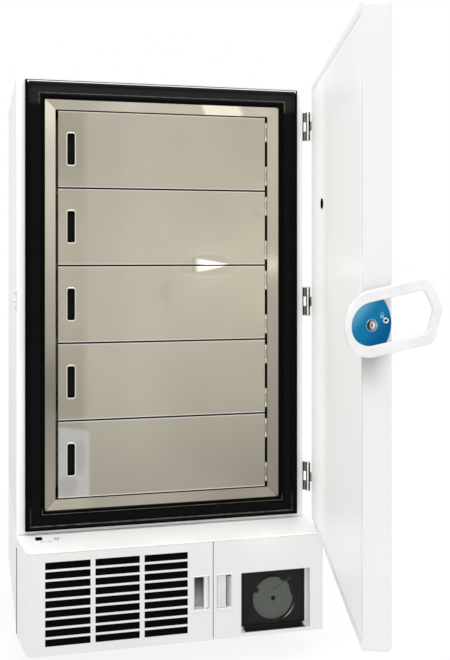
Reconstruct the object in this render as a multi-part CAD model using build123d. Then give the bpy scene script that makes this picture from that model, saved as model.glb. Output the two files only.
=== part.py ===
from build123d import *
import os
from math import cos, radians, sin

# Ultra low temperature upright freezer, in millimetres.
# X runs to the right, Y to the back and Z up. The origin is on the floor, under the middle of the cabinet.
# The outer door stands open, as it is at rest; everything else is closed.

# Cabinet
cabinet_width = 1015
cabinet_depth = 755
body_height = 1537
base_height = 327
ground_clearance = 98
case_sheet = 1.5
case_edge_radius = 3
flange_overlap = 16

# Chamber
wall_side = 130
wall_end = 108
wall_back = 125
liner_sheet = 1.5
evaporator_jacket = 12
evaporator_loops = 6
evaporator_loop_width = 14

# Front frame: breaker strips and gasket round the chamber's mouth
breaker_depth = 30
breaker_slope = 12
breaker_side = 36.5
breaker_end = 31.5
gasket_side = 70
gasket_end = 62
gasket_base = 11
gasket_ridge = 16
gasket_inner_lip = 15
gasket_squeeze = 0.5

# Inner doors and shelves
inner_door_count = 5
inner_door_side_gap = 9.5
inner_door_gap = 4
inner_door_thickness = 22
inner_door_recess = 10
inner_door_skin = 1.2
finger_slot_width = 25
finger_slot_height = 107
finger_slot_depth = 15
finger_slot_radius = 6
finger_slot_inset = 43.5
finger_rim_width = 3
finger_rim_height = 1.5
foam_port_diameter = 8
inner_hinge_length = 66
inner_hinge_inset = 51.7
inner_knuckle_radius = 4
inner_pin_radius = 1.5
inner_leaf_thickness = 0.5
inner_knuckle_gap = 0.3
inner_pin_clearance = 0.05
shelf_thickness = 18
shelf_sheet = 1.5
shelf_front_gap = 6
shelf_back_gap = 32
support_width = 20
support_depth = 10

# Outer door
door_gap = 20
door_thickness = 69
door_bottom_gap = 3.5
door_edge_radius = 12
door_sheet = 1.5
door_flange = 20
liner_thickness = 3
door_open = 74
relief_port_radius = 13.5
relief_port_inset = 285
relief_port_drop = 435
relief_tube_wall = 2.5
relief_flange = 3
relief_cap_radius = 26

# Outer hinges
hinge_low_inset = 144
hinge_high_inset = 141
hinge_length = 100
hinge_reach = 16.5
hinge_barrel_radius = 8
hinge_pin_radius = 4
hinge_pin_clearance = 0.05
hinge_leaf_thickness = 3
hinge_leaf_depth = 42
hinge_knuckle_gap = 0.4

# Latch and loop handle
latch_rise = 775
latch_inset = 15.3
latch_tilt = 13.5
housing_thickness = 14
housing_width = 46
housing_height = 100
handle_thickness = 20
handle_gap = 0.4
handle_half_width = 76
handle_band = 27
handle_end_band = 15.5
handle_back = 62
handle_shoulder = 140
handle_tip = 166
handle_lean = 0.18
handle_lift = 3
handle_corner_radius = 22
handle_edge_radius = 4
handle_turn = 40
hub_nose = 45.5
hub_top = 31
hub_depth = 16
hub_spindle_radius = 14
hub_clearance = 0.3
lock_radius = 11
lock_proud = 1.5
lock_clearance = 0.05
key_slot_width = 2.4
finger_inner_radius = 49
finger_outer_radius = 58
finger_plate = 6
finger_start = 25
finger_end = 60
web_start = 38
strike_stud_radius = 5
strike_stud_rise = 8
strike_stud_back = 42
strike_stud_length = 11
strike_plate_thickness = 2
strike_plate_width = 22
strike_plate_height = 76

# Base cover: ledge and two swinging panels
cover_reach = 180
cover_sheet = 2
ledge_thickness = 4
ledge_flange_height = 40
panel_top_gap = 1
panel_return_gap = 15
cover_taper = 24.5
cover_taper_start = 20
cover_taper_end = 150
cover_corner_radius = 22
panel_seam_from_right = 385.5
panel_seam_gap = 3
panel_lip = 20
panel_pivot_inset = 6.5
panel_pivot_from_front = 20
panel_pin_radius = 2.5
panel_pin_clearance = 0.05
panel_lug_thickness = 3
panel_lug_radius = 6
side_wall_front = 10
centre_post_width = 16
grille_columns = 3
grille_rows = 9
grille_bar = 15.5
grille_row_bar = 6.9
grille_side = 80.5
grille_top_drop = 32
grille_low_rise = 29.2
grille_cup_gap = 20.5
latch_cup_width = 53
latch_cup_height = 108
latch_cup_wall = 2
latch_cup_depth = 22
latch_cup_radius = 4
latch_cup_rise = 156
latch_cup_from_seam = 39
paddle_bar = 6
grille_paddle_width = 14
recorder_paddle_width = 28
grille_paddle_recess = 6
recorder_paddle_recess = 0
grille_cup_slope = 6
recorder_cup_slope = 17
paddle_thickness = 3
paddle_set_back = 1
paddle_pin_from_floor = 8
paddle_tail_gap = 6
paddle_clearance = 1.5
paddle_pin_radius = 2.5
paddle_pin_clearance = 0.05
window_from_right = 47.5
window_width = 242
window_low_rise = 12
window_height = 199
window_recess = 30
window_pane = 3
window_reveal_sheet = 2
window_lip = 8
window_lip_sheet = 2

# Chart recorder
recorder_face_gap = 6
recorder_depth = 90
chart_radius = 70
chart_thickness = 1
chart_from_right = 165.5
chart_rise = 104
chart_hub_radius = 8
chart_spindle_radius = 3
chart_clearance = 0.05
pen_length = 74
pen_pivot_side = 56
pen_pivot_rise = 60
pen_pivot_radius = 4
pen_gap = 0.6

# Ledge switch
switch_plate_side = 37.5
switch_plate_length = 78
switch_plate_front = 81
switch_plate_back = 20
switch_plate_thickness = 2
switch_plate_proud = 1
switch_plate_slant = 18
switch_slot_from_left = 22
switch_slot_from_front = 15
switch_slot_width = 20
switch_slot_depth = 31
plunger_side = 127.5
plunger_from_front = 60
plunger_radius = 6
plunger_proud = 2
plunger_length = 22
plunger_collar = 3
plunger_clearance = 0.05

# Machine compartment
pan_sheet = 3
wall_sheet = 2
filter_thickness = 8
condenser_side = 87.5
condenser_from_seam = 82
condenser_depth = 60
condenser_front = 30
condenser_low_rise = 32
condenser_high_drop = 33
fin_count = 22
fin_thickness = 2
tube_rows = 6
tube_radius = 6
shroud_depth = 40
shroud_sheet = 2
fan_end_gap = 19
fan_tip_gap = 5
fan_hub_radius = 26
fan_blades = 5
fan_blade_thickness = 3
fan_blade_chord = 58
fan_blade_pitch = 26
fan_blade_corner = 14
fan_blade_root = 6
fan_hub_length = 30
fan_hub_wall = 2
fan_shaft_radius = 4
fan_shaft_clearance = 0.05
motor_radius = 34
motor_length = 60
motor_gap = 22
motor_edge_radius = 4
fan_shaft_length = 40
compressor_radius = 82
compressor_height = 210
compressor_side = 277.5
compressor_pitch = 290
compressor_from_back = 132.5
compressor_foot = 12
control_box_size = (150, 220, 130)
rear_grille_rows = 7
rear_grille_columns = 3
rear_slot_side = 77.5
rear_slot_gap = 40
rear_slot_low = 40
rear_slot_height = 14
rear_slot_pitch = 34

# Feet and casters
foot_side = 77.5
foot_back = 75
foot_pad_radius = 22
foot_pad_height = 12
foot_stem_radius = 6
caster_side = 112.5
caster_front = 165
caster_rear = 90
caster_plate = 4
caster_plate_size = 90
caster_wheel_radius = 37
caster_wheel_width = 28
caster_trail = 24
caster_fork_sheet = 4
caster_fork_gap = 2
caster_pin_radius = 6
caster_axle_radius = 5
caster_clearance = 0.05

# Places that follow from the sizes
front = -cabinet_depth / 2
back = cabinet_depth / 2
half_width = cabinet_width / 2
body_bottom = ground_clearance + base_height
body_top = body_bottom + body_height
chamber_half = half_width - wall_side
chamber_bottom = body_bottom + wall_end
chamber_top = body_top - wall_end
chamber_width = 2 * chamber_half
chamber_height = chamber_top - chamber_bottom
liner_front = front + breaker_depth
liner_back = back - wall_back
chamber_depth = liner_back - liner_front
inner_door_pitch = (chamber_height - inner_door_gap) / inner_door_count
inner_door_height = inner_door_pitch - inner_door_gap
inner_door_half = chamber_half - inner_door_side_gap
inner_door_front = front + inner_door_recess
inner_door_back = inner_door_front + inner_door_thickness
shelf_depth = liner_back - inner_door_back - shelf_front_gap - shelf_back_gap
inner_pivot_x = chamber_half - inner_knuckle_radius - 2 * inner_leaf_thickness
inner_pivot_y = inner_door_front + inner_knuckle_radius
door_inner = front - door_gap
door_outer = door_inner - door_thickness
door_bottom = body_bottom + door_bottom_gap
hinge_x = half_width + hinge_reach
hinge_y = front - door_gap / 2
hinge_heights = (
    body_bottom + hinge_low_inset,
    (body_bottom + hinge_low_inset + body_top - hinge_high_inset) / 2,
    body_top - hinge_high_inset,
)
latch_y = door_inner - latch_inset
latch_height = body_bottom + latch_rise
relief_port_height = body_top - relief_port_drop
handle_inner = -half_width - housing_thickness - handle_gap
handle_outer = handle_inner - handle_thickness
cover_front = front - cover_reach
panel_top = body_bottom - ledge_thickness - panel_top_gap
pane_front = cover_front + window_recess
panel_pivot_x = half_width - panel_pivot_inset
panel_pivot_y = front - panel_pivot_from_front
panel_seam = half_width - panel_seam_from_right
grille_cup_middle = panel_seam - latch_cup_from_seam
recorder_cup_middle = panel_seam + latch_cup_from_seam
latch_cup_middle = ground_clearance + latch_cup_rise
grille_left = -half_width + grille_side
grille_right = grille_cup_middle - latch_cup_width / 2 - grille_cup_gap
grille_slot_width = (grille_right - grille_left - (grille_columns - 1) * grille_bar) / grille_columns
grille_top = body_bottom - grille_top_drop
grille_low = ground_clearance + grille_low_rise
grille_row_pitch = (grille_top - grille_low + grille_row_bar) / grille_rows
grille_slot_height = grille_row_pitch - grille_row_bar
window_right = half_width - window_from_right
window_left = window_right - window_width
window_low = ground_clearance + window_low_rise
window_high = window_low + window_height
chart_x = half_width - chart_from_right
chart_height = ground_clearance + chart_rise
pen_pivot_x = chart_x + pen_pivot_side
pen_pivot_height = chart_height + pen_pivot_rise
switch_plate_left = -half_width + switch_plate_side
switch_plate_right = switch_plate_left + switch_plate_length
plunger_x = -half_width + plunger_side
condenser_left = -half_width + condenser_side
condenser_right = panel_seam - condenser_from_seam
condenser_low = ground_clearance + condenser_low_rise
condenser_high = body_bottom - condenser_high_drop
fan_radius = (condenser_high - condenser_low) / 2 - fan_end_gap
compressor_positions = (-half_width + compressor_side, -half_width + compressor_side + compressor_pitch)
compressor_y = back - compressor_from_back
rear_slot_span = cabinet_width - 2 * rear_slot_side - (rear_grille_columns - 1) * rear_slot_gap
rear_slot_width = rear_slot_span / rear_grille_columns
foot_x = half_width - foot_side
caster_x = half_width - caster_side


def block(x, y, z):
    """A box between three pairs of low and high values."""
    middle = [(low + high) / 2 for low, high in (x, y, z)]
    return Pos(*middle) * Box(x[1] - x[0], y[1] - y[0], z[1] - z[0])


def both(half):
    """A pair that is even about the middle."""
    return (-half, half)


def along(start, direction, radius, length):
    """A round bar from a point, along an axis given as a vector."""
    return extrude(Plane(start, z_dir=direction) * Circle(radius), length)


def upright(x, y, z, radius):
    """A round bar along Z between two heights."""
    return Pos(x, y, z[0]) * extrude(Circle(radius), z[1] - z[0])


def mouth(side, end, y):
    """The chamber's mouth, grown by side and end, as a block between two depths."""
    return block(both(chamber_half + side), y, (chamber_bottom - end, chamber_top + end))


def write(name, *shapes):
    """One STEP file for one node, with each of its solids."""
    solids = [solid for shape in shapes for solid in shape.solids()]
    export_step(solids[0] if len(solids) == 1 else Compound(solids), f"parts/{name}.step")


def mirrored(shape):
    """The same shape on the other side of the middle."""
    return mirror(shape, about=Plane.YZ)


def outer_case():
    """Folded wrapper with a flange round the front, which carries the gasket."""
    skin = block(both(half_width), (front, back), (body_bottom, body_top))
    skin = fillet(skin.faces().sort_by(Axis.Y)[0].edges(), case_edge_radius)
    inside = block(
        both(half_width - case_sheet),
        (front + case_sheet, back),
        (body_bottom + case_sheet, body_top - case_sheet),
    )
    hole = mouth(breaker_side + flange_overlap, breaker_end + flange_overlap, (front, front + case_sheet))
    return skin - inside - hole


def back_panel():
    """Sheet that closes the wrapper."""
    return block(
        both(half_width - case_sheet),
        (back - case_sheet, back),
        (body_bottom + case_sheet, body_top - case_sheet),
    )


def liner_block(grow, y):
    """The liner's outside, grown by a distance on each side."""
    wall = liner_sheet + grow
    return block(both(chamber_half + wall), y, (chamber_bottom - wall, chamber_top + wall))


def body_insulation():
    """Foam between the case and the chamber, with room for the evaporator."""
    foam = block(
        both(half_width - case_sheet),
        (front + case_sheet, back - case_sheet),
        (body_bottom + case_sheet, body_top - case_sheet),
    )
    seat = mouth(breaker_side + flange_overlap, breaker_end + flange_overlap, (front, liner_front))
    jacket = liner_block(evaporator_jacket, (liner_front, liner_back + liner_sheet + evaporator_jacket))
    return foam - seat - jacket


def inner_liner():
    """Stainless chamber, open at the front."""
    outside = liner_block(0, (liner_front, liner_back + liner_sheet))
    return outside - mouth(0, 0, (liner_front, liner_back))


def evaporator():
    """Tube loops wound round the liner, joined by a header along the top."""
    pitch = chamber_depth / evaporator_loops
    loops = []
    for number in range(evaporator_loops):
        start = liner_front + pitch * (number + 0.5)
        y = (start, start + evaporator_loop_width)
        loops.append(liner_block(evaporator_jacket, y) - liner_block(0, y))
    header = block(
        (-evaporator_loop_width, evaporator_loop_width),
        (liner_front + pitch / 2, liner_front + pitch * (evaporator_loops - 0.5)),
        (chamber_top + liner_sheet, chamber_top + liner_sheet + evaporator_jacket),
    )
    return loops[0].fuse(*loops[1:], header)


def breaker_frame():
    """Four mitred strips that slope from the gasket down to the chamber's mouth."""
    side = breaker_side + flange_overlap
    end = breaker_end + flange_overlap
    frame = mouth(side, end, (front, liner_front)) - mouth(0, 0, (front, liner_front))
    wide = Plane.XZ.offset(-front) * Pos(0, (chamber_bottom + chamber_top) / 2) * Rectangle(
        chamber_width + 2 * breaker_side, chamber_height + 2 * breaker_end
    )
    narrow = Plane.XZ.offset(-front - breaker_slope) * Pos(0, (chamber_bottom + chamber_top) / 2) * Rectangle(
        chamber_width, chamber_height
    )
    frame -= loft([wide, narrow])
    inner = [
        (-chamber_half, chamber_bottom),
        (chamber_half, chamber_bottom),
        (chamber_half, chamber_top),
        (-chamber_half, chamber_top),
    ]
    outer = [
        (-chamber_half - side, chamber_bottom - end),
        (chamber_half + side, chamber_bottom - end),
        (chamber_half + side, chamber_top + end),
        (-chamber_half - side, chamber_top + end),
    ]
    strips = []
    for first in range(4):
        second = (first + 1) % 4
        corners = (outer[first], outer[second], inner[second], inner[first])
        outline = Plane.XZ.offset(-front) * make_face(Polyline(*corners, close=True))
        strips.append(frame & extrude(outline, -breaker_depth))
    return strips


def body_gasket():
    """Stepped rubber frame on the case's front flange."""
    near = door_inner + gasket_squeeze
    side = breaker_side + gasket_side
    end = breaker_end + gasket_end
    base = mouth(side, end, (front - gasket_base, front))
    ridge = mouth(side, end, (near, front)) - mouth(side - gasket_ridge, end - gasket_ridge, (near, front))
    lip_front = (near + front - gasket_base) / 2
    lip = mouth(
        breaker_side + gasket_inner_lip, breaker_end + gasket_inner_lip, (lip_front, front)
    )
    return (base + ridge + lip) - mouth(breaker_side, breaker_end, (near, front))


def shelf(number):
    """Shelf tray with its edges folded down, level with the gap between two inner doors."""
    middle = chamber_bottom + inner_door_gap / 2 + number * inner_door_pitch
    half = chamber_half - support_depth - 1
    y = (inner_door_back + shelf_front_gap, inner_door_back + shelf_front_gap + shelf_depth)
    z = (middle - shelf_thickness / 2, middle + shelf_thickness / 2)
    under = block(
        both(half - shelf_sheet), (y[0] + shelf_sheet, y[1] - shelf_sheet), (z[0], z[1] - shelf_sheet)
    )
    return block(both(half), y, z) - under


def shelf_supports():
    """Four upright strips on the chamber's side walls, each with a clip under every shelf."""
    strips = []
    first = inner_door_back + 70
    last = inner_door_back + shelf_depth - 70
    for y in (first, last):
        strip = block(
            (chamber_half - support_depth, chamber_half),
            (y - support_width / 2, y + support_width / 2),
            (chamber_bottom + 20, chamber_top - 20),
        )
        for number in range(1, inner_door_count):
            under = chamber_bottom + inner_door_gap / 2 + number * inner_door_pitch - shelf_thickness / 2
            strip += block(
                (chamber_half - 2.4 * support_depth, chamber_half - support_depth),
                (y - support_width / 2, y + support_width / 2),
                (under - 6, under),
            )
        strips += [strip, mirrored(strip)]
    return strips


def finger_slot(grow, y):
    """The finger recess's rounded outline, grown by a distance, between two depths, at height 0."""
    outline = RectangleRounded(
        finger_slot_width + 2 * grow, finger_slot_height + 2 * grow, finger_slot_radius + grow
    )
    place = Plane((-inner_door_half + finger_slot_inset, y[1], 0), x_dir=(1, 0, 0), z_dir=(0, -1, 0))
    return extrude(place * outline, y[1] - y[0])


def inner_hinge_centres():
    """Heights of an inner door's two hinges, from the door's middle."""
    return both(inner_door_height / 2 - inner_hinge_inset)


def inner_door(number):
    """Folded stainless door with a finger recess, a foaming port and two hinge knuckles."""
    low = chamber_bottom + inner_door_gap + (number - 1) * inner_door_pitch
    middle = low + inner_door_height / 2
    half = inner_door_height / 2
    skin = block(both(inner_door_half), (inner_door_front, inner_door_back), both(half))
    skin = fillet(skin.faces().sort_by(Axis.Y)[0].edges(), inner_door_skin)
    skin -= block(
        both(inner_door_half - inner_door_skin),
        (inner_door_front + inner_door_skin, inner_door_back - inner_door_skin),
        both(half - inner_door_skin),
    )
    rim_front = inner_door_front - finger_rim_height
    cup_back = inner_door_front + finger_slot_depth
    skin += finger_slot(inner_door_skin, (inner_door_front, cup_back + inner_door_skin))
    skin += finger_slot(finger_rim_width, (rim_front, inner_door_front))
    skin -= finger_slot(0, (rim_front, cup_back))
    skin -= along(
        (inner_door_half - 40, inner_door_back - 2 * inner_door_skin, 0),
        (0, 1, 0),
        foam_port_diameter / 2,
        3 * inner_door_skin,
    )
    knuckle_half = inner_hinge_length / 4
    for height in inner_hinge_centres():
        z = (height - knuckle_half, height + knuckle_half)
        bore = inner_pin_radius + inner_pin_clearance
        skin += block(
            (inner_door_half - inner_door_skin, inner_pivot_x),
            (inner_pivot_y - inner_door_skin, inner_pivot_y + inner_door_skin),
            z,
        )
        skin += upright(inner_pivot_x, inner_pivot_y, z, inner_knuckle_radius)
        skin -= upright(inner_pivot_x, inner_pivot_y, z, bore)
    return Pos(0, 0, middle) * skin


def inner_hinge_leaves():
    """Fixed leaves on the chamber's right wall: two end knuckles and a pin for each door hinge."""
    leaves = []
    half = inner_hinge_length / 2
    gap = inner_knuckle_gap
    for number in range(inner_door_count):
        middle = chamber_bottom + inner_door_gap + number * inner_door_pitch + inner_door_height / 2
        for height in inner_hinge_centres():
            centre = middle + height
            z = (centre - half, centre + half)
            leaf = block((chamber_half - inner_leaf_thickness, chamber_half), (inner_pivot_y, liner_front), z)
            for low, high in ((z[0], centre - half / 2 - gap), (centre + half / 2 + gap, z[1])):
                leaf += upright(inner_pivot_x, inner_pivot_y, (low, high), inner_knuckle_radius)
            leaf += upright(inner_pivot_x, inner_pivot_y, z, inner_pin_radius)
            leaves.append(leaf)
    return leaves


def opened(shape):
    """A piece of the outer door, turned about the hinge from closed to its rest angle."""
    return shape.rotate(Axis((hinge_x, hinge_y, 0), (0, 0, 1)), door_open)


def relief_axis(start, length, radius):
    """A round bar through the outer door where the relief port is."""
    return along((half_width - relief_port_inset, start, relief_port_height), (0, -1, 0), radius, length)


def door_shell():
    """Outer skin with rounded edges, folded back round the inner side as a flange."""
    skin = block(both(half_width), (door_outer, door_inner), (door_bottom, body_top))
    front_face = skin.faces().sort_by(Axis.Y)[0]
    depth_edges = skin.edges().filter_by(Axis.Y)
    skin = fillet(front_face.edges() + depth_edges, door_edge_radius)
    inside = block(
        both(half_width - door_sheet),
        (door_outer + door_sheet, door_inner - door_sheet),
        (door_bottom + door_sheet, body_top - door_sheet),
    )
    inner_face = inside.faces().sort_by(Axis.Y)[0]
    inside = fillet(inner_face.edges() + inside.edges().filter_by(Axis.Y), door_edge_radius - door_sheet)
    hole = block(
        both(half_width - door_flange),
        (door_inner - door_sheet, door_inner),
        (door_bottom + door_flange, body_top - door_flange),
    )
    return opened(skin - inside - hole - relief_axis(door_inner, door_thickness, relief_port_radius))


def door_liner():
    """Glossy inner panel, set into the shell's flange, with a shallow raised field."""
    plate = block(
        both(half_width - door_flange),
        (door_inner - liner_thickness, door_inner),
        (door_bottom + door_flange, body_top - door_flange),
    )
    return opened(plate - relief_axis(door_inner, liner_thickness, relief_port_radius))


def door_foam():
    """Foam that fills the door between shell and liner."""
    foam = block(
        both(half_width - door_sheet),
        (door_outer + door_sheet, door_inner - door_sheet),
        (door_bottom + door_sheet, body_top - door_sheet),
    )
    outer_face = foam.faces().sort_by(Axis.Y)[0]
    foam = fillet(outer_face.edges() + foam.edges().filter_by(Axis.Y), door_edge_radius - door_sheet)
    foam -= block(
        both(half_width - door_flange),
        (door_inner - liner_thickness, door_inner),
        (door_bottom + door_flange, body_top - door_flange),
    )
    return opened(foam - relief_axis(door_inner, door_thickness, relief_port_radius))


def relief_port():
    """Tube through the door that lets air back in, with a flange inside and a cap outside."""
    bore = relief_port_radius - relief_tube_wall
    tube = relief_axis(door_inner + relief_flange, door_thickness + relief_flange, relief_port_radius)
    tube += relief_axis(door_inner + relief_flange, relief_flange, relief_port_radius + relief_flange)
    tube += relief_axis(door_outer, 3 * relief_flange, relief_cap_radius)
    return opened(tube - relief_axis(door_inner + relief_flange, door_thickness, bore))


def hinge_spans(middle):
    """Height ranges of a hinge's three knuckles."""
    low = middle - hinge_length / 2
    third = hinge_length / 3
    return [
        (low + number * third + hinge_knuckle_gap / 2, low + (number + 1) * third - hinge_knuckle_gap / 2)
        for number in range(3)
    ]


def hinge_leaf(middle, side, spans):
    """A leaf on an edge, with webs to its knuckles. side is +1 behind the pivot and -1 before it."""
    seat = hinge_y + side * door_gap / 2
    start = seat + side
    y = sorted((start, start + side * hinge_leaf_depth))
    z = (middle - hinge_length / 2, middle + hinge_length / 2)
    leaf = block((half_width, half_width + hinge_leaf_thickness), y, z)
    leaf = fillet(leaf.edges().filter_by(Axis.X), hinge_leaf_thickness)
    for span in spans:
        web = (
            (half_width, seat + side),
            (half_width, seat + side * (1 + 2 * hinge_leaf_thickness)),
            (hinge_x, hinge_y + side * hinge_barrel_radius),
            (hinge_x, hinge_y),
        )
        leaf += Pos(0, 0, span[0]) * extrude(make_face(Polyline(*web, close=True)), span[1] - span[0])
        leaf += upright(hinge_x, hinge_y, span, hinge_barrel_radius)
    return leaf


def cabinet_hinge_leaves():
    """Leaves on the case's right side, each with its two outer knuckles and the pin."""
    leaves = []
    for middle in hinge_heights:
        spans = hinge_spans(middle)
        leaf = hinge_leaf(middle, 1, (spans[0], spans[2]))
        leaves.append(leaf + upright(hinge_x, hinge_y, (spans[0][0], spans[2][1]), hinge_pin_radius))
    return leaves


def door_hinge_leaves():
    """Leaves on the door's hinge edge, each with the middle knuckle."""
    leaves = []
    for middle in hinge_heights:
        span = hinge_spans(middle)[1]
        bore = upright(hinge_x, hinge_y, span, hinge_pin_radius + hinge_pin_clearance)
        leaves.append(opened(hinge_leaf(middle, -1, (span,)) - bore))
    return leaves


# The latch is drawn on the door's free edge, looking at it from outside: the first axis
# runs from the door's inner side outwards, the second runs up, and depth runs away from the door.
def latch_plane(offset):
    return Plane((-half_width - offset, latch_y, latch_height), x_dir=(0, -1, 0), z_dir=(-1, 0, 0))


def latch_solid(outline, start, thickness, tilt=0):
    """An outline on the latch's plane, made solid and turned open with the door."""
    return opened(extrude(latch_plane(start) * (Rot(0, 0, tilt) * outline), thickness))


def leaned(out, up):
    """A point of the handle's outline, which leans forward with height and sits a little high."""
    return (out + handle_lean * up, up + handle_lift)


def back_curve(reach, half):
    """Half an ellipse behind the pivot, leaned like the rest of the outline, as two quarter curves."""
    pull = 4 / 3 * (2**0.5 - 1)
    pull_out = pull * reach
    pull_up = pull * half
    back = leaned(-reach, 0)
    upper = Bezier(leaned(0, half), leaned(-pull_out, half), leaned(-reach, pull_up), back)
    lower = Bezier(back, leaned(-reach, -pull_up), leaned(-pull_out, -half), leaned(0, -half))
    return [*upper.edges(), *lower.edges()]


def loop_outline(inset, end_inset):
    """The loop handle's outline, drawn in by a band: a round back and a blunt pointed nose."""
    half = handle_half_width - inset
    back_reach = handle_back - end_inset
    shoulder = handle_shoulder - inset / 2
    tip = handle_tip - end_inset - inset / 4
    corners = ((0, half), (shoulder, half), (tip, 0), (shoulder, -half), (0, -half))
    leaned_corners = [leaned(out, up) for out, up in corners]
    nose = FilletPolyline(*leaned_corners, radius=handle_corner_radius - inset / 4)
    return make_face(Wire([*nose.edges(), *back_curve(back_reach, half)]))


def hub_outline():
    """The blue insert: the loop's inner back, closed by a wide arc."""
    half = handle_half_width - handle_band - hub_clearance
    back_reach = handle_back - handle_end_band - hub_clearance
    top = Line(leaned(0, half), leaned(hub_top, half))
    nose = ThreePointArc(leaned(hub_top, half), leaned(hub_nose, 0), leaned(hub_top, -half))
    foot = Line(leaned(hub_top, -half), leaned(0, -half))
    return make_face(Wire([*back_curve(back_reach, half), *top.edges(), *nose.edges(), *foot.edges()]))


def latch_housing():
    """Block on the door's free edge that carries the handle's spindle."""
    outline = RectangleRounded(housing_width, housing_height, handle_edge_radius)
    housing = latch_solid(Pos(housing_width / 2 - latch_inset + 2, 0) * outline, 0, housing_thickness)
    pocket_depth = finger_plate + handle_gap
    pocket_start = finger_start - handle_turn - 6
    pocket = make_sector(hub_spindle_radius - 1, handle_half_width, pocket_start, finger_end + 4)
    housing -= latch_solid(pocket, housing_thickness - pocket_depth, pocket_depth)
    return housing - latch_solid(Circle(hub_spindle_radius + lock_clearance), 0, housing_thickness)


def handle_ring():
    """The white loop, with rounded edges."""
    offset = housing_thickness + handle_gap
    outline = loop_outline(0, 0) - loop_outline(handle_band, handle_end_band)
    ring = latch_solid(outline, offset, handle_thickness, latch_tilt)
    sides = [
        face
        for face in ring.faces()
        if abs(face.normal_at().dot(Vector(-cos(radians(door_open)), -sin(radians(door_open)), 0))) > 0.99
    ]
    edges = [edge for face in sides for edge in face.edges()]
    return fillet(edges, handle_edge_radius)


def handle_hub():
    """The blue insert with its spindle, and the latch finger on its back."""
    offset = housing_thickness + handle_gap
    hub = latch_solid(hub_outline(), offset, hub_depth, latch_tilt)
    hub += latch_solid(Circle(hub_spindle_radius), handle_gap, offset)
    finger = make_sector(finger_inner_radius, finger_outer_radius, finger_start, finger_end)
    finger += make_sector(hub_spindle_radius, finger_outer_radius, web_start, finger_end)
    hub += latch_solid(finger, housing_thickness - finger_plate, finger_plate + handle_gap)
    return hub - latch_solid(Circle(lock_radius + lock_clearance), offset, hub_depth)


def make_sector(inner, outer, start, end):
    """Part of a ring, between two angles below the line that points to the cabinet."""
    low, high = 180 + start, 180 + end
    inside = [(inner * cos(radians(a)), inner * sin(radians(a))) for a in (low, high)]
    outside = [(outer * cos(radians(a)), outer * sin(radians(a))) for a in (low, high)]
    edges = [
        CenterArc((0, 0), outer, low, end - start).edge(),
        Line(outside[1], inside[1]).edge(),
        CenterArc((0, 0), inner, low, end - start).edge(),
        Line(inside[0], outside[0]).edge(),
    ]
    return make_face(Wire(edges))


def key_lock():
    """Lock cylinder in the hub, with its key slot."""
    offset = housing_thickness + handle_gap
    length = hub_depth + lock_proud
    body = latch_solid(Circle(lock_radius), offset, length)
    face = latch_plane(offset + length)
    edge = opened(extrude(face * Circle(lock_radius - 1), -1))
    slot = latch_solid(Rectangle(key_slot_width, lock_radius), offset + length - 4, 4)
    ring = latch_solid(Circle(lock_radius) - Circle(lock_radius - 2), offset + length - 1, 1)
    return (body - edge - slot) + ring


def strike_plate():
    """Plate on the case's left side with the stud that the latch finger goes behind."""
    y = latch_y + strike_stud_back
    z = latch_height + strike_stud_rise
    plate = block(
        (-half_width - strike_plate_thickness, -half_width),
        (y - strike_plate_width / 2 + 6, y + strike_plate_width / 2 + 6),
        (z - strike_plate_height / 2, z + strike_plate_height / 2),
    )
    plate = fillet(plate.edges().filter_by(Axis.X), strike_plate_width / 4)
    return plate + along((-half_width, y, z), (-1, 0, 0), strike_stud_radius, strike_stud_length)


def cover_outline(inset, rear):
    """Plan of the base cover at a sheet's depth: tapered at the left, square at the right."""
    left = -half_width + inset
    right = half_width - inset
    near = cover_front + inset
    corner = left + cover_taper
    return FilletPolyline(
        (left, rear),
        (left, front - cover_taper_start),
        (corner, near),
        (right, near),
        (right, rear),
        radius=[cover_corner_radius * 2, cover_corner_radius - inset, case_edge_radius * 2 - inset],
    )


def cover_prism(inset, rear, z):
    """The base cover's plan as a solid between two heights."""
    path = cover_outline(inset, rear)
    closing = Line(path @ 1, path @ 0)
    face = make_face(Wire([*path.edges(), *closing.edges()]))
    return Pos(0, 0, z[0]) * extrude(face, z[1] - z[0])


def base_ledge():
    """Top of the base cover, with a flange behind it and the switch's seats."""
    z = (body_bottom - ledge_thickness, body_bottom)
    ledge = cover_prism(0, front, z)
    flange_z = (body_bottom - ledge_flange_height, body_bottom - ledge_thickness)
    ledge += block(both(half_width - wall_sheet), (front - wall_sheet, front), flange_z)
    ledge -= switch_plate_block((body_bottom - switch_plate_thickness + switch_plate_proud, body_bottom))
    ledge -= switch_slot(z)
    bore = plunger_radius + plunger_clearance
    ledge -= upright(plunger_x, front - plunger_from_front, z, bore)
    for x in (-panel_pivot_x, panel_pivot_x):
        ledge += upright(x, panel_pivot_y, (panel_top - 2 * cover_sheet, z[0]), panel_pin_radius)
    return ledge


def switch_plate_block(z):
    """The switch plate's place in the ledge, slanted at the left like the cover."""
    near = front - switch_plate_front
    far = front - switch_plate_back
    corners = (
        (switch_plate_left + switch_plate_slant, near),
        (switch_plate_right, near),
        (switch_plate_right, far),
        (switch_plate_left, far),
    )
    outline = make_face(Polyline(*corners, close=True))
    return Pos(0, 0, z[0]) * extrude(outline, z[1] - z[0])


def switch_slot(z):
    """The slot for the door's magnet, between two heights."""
    left = switch_plate_left + switch_slot_from_left
    near = front - switch_plate_front + switch_slot_from_front
    return block((left, left + switch_slot_width), (near, near + switch_slot_depth), z)


def ledge_plate():
    """Thin plate let into the ledge and a little proud of it."""
    z = (body_bottom - switch_plate_thickness + switch_plate_proud, body_bottom + switch_plate_proud)
    return switch_plate_block(z) - switch_slot(z)


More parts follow.
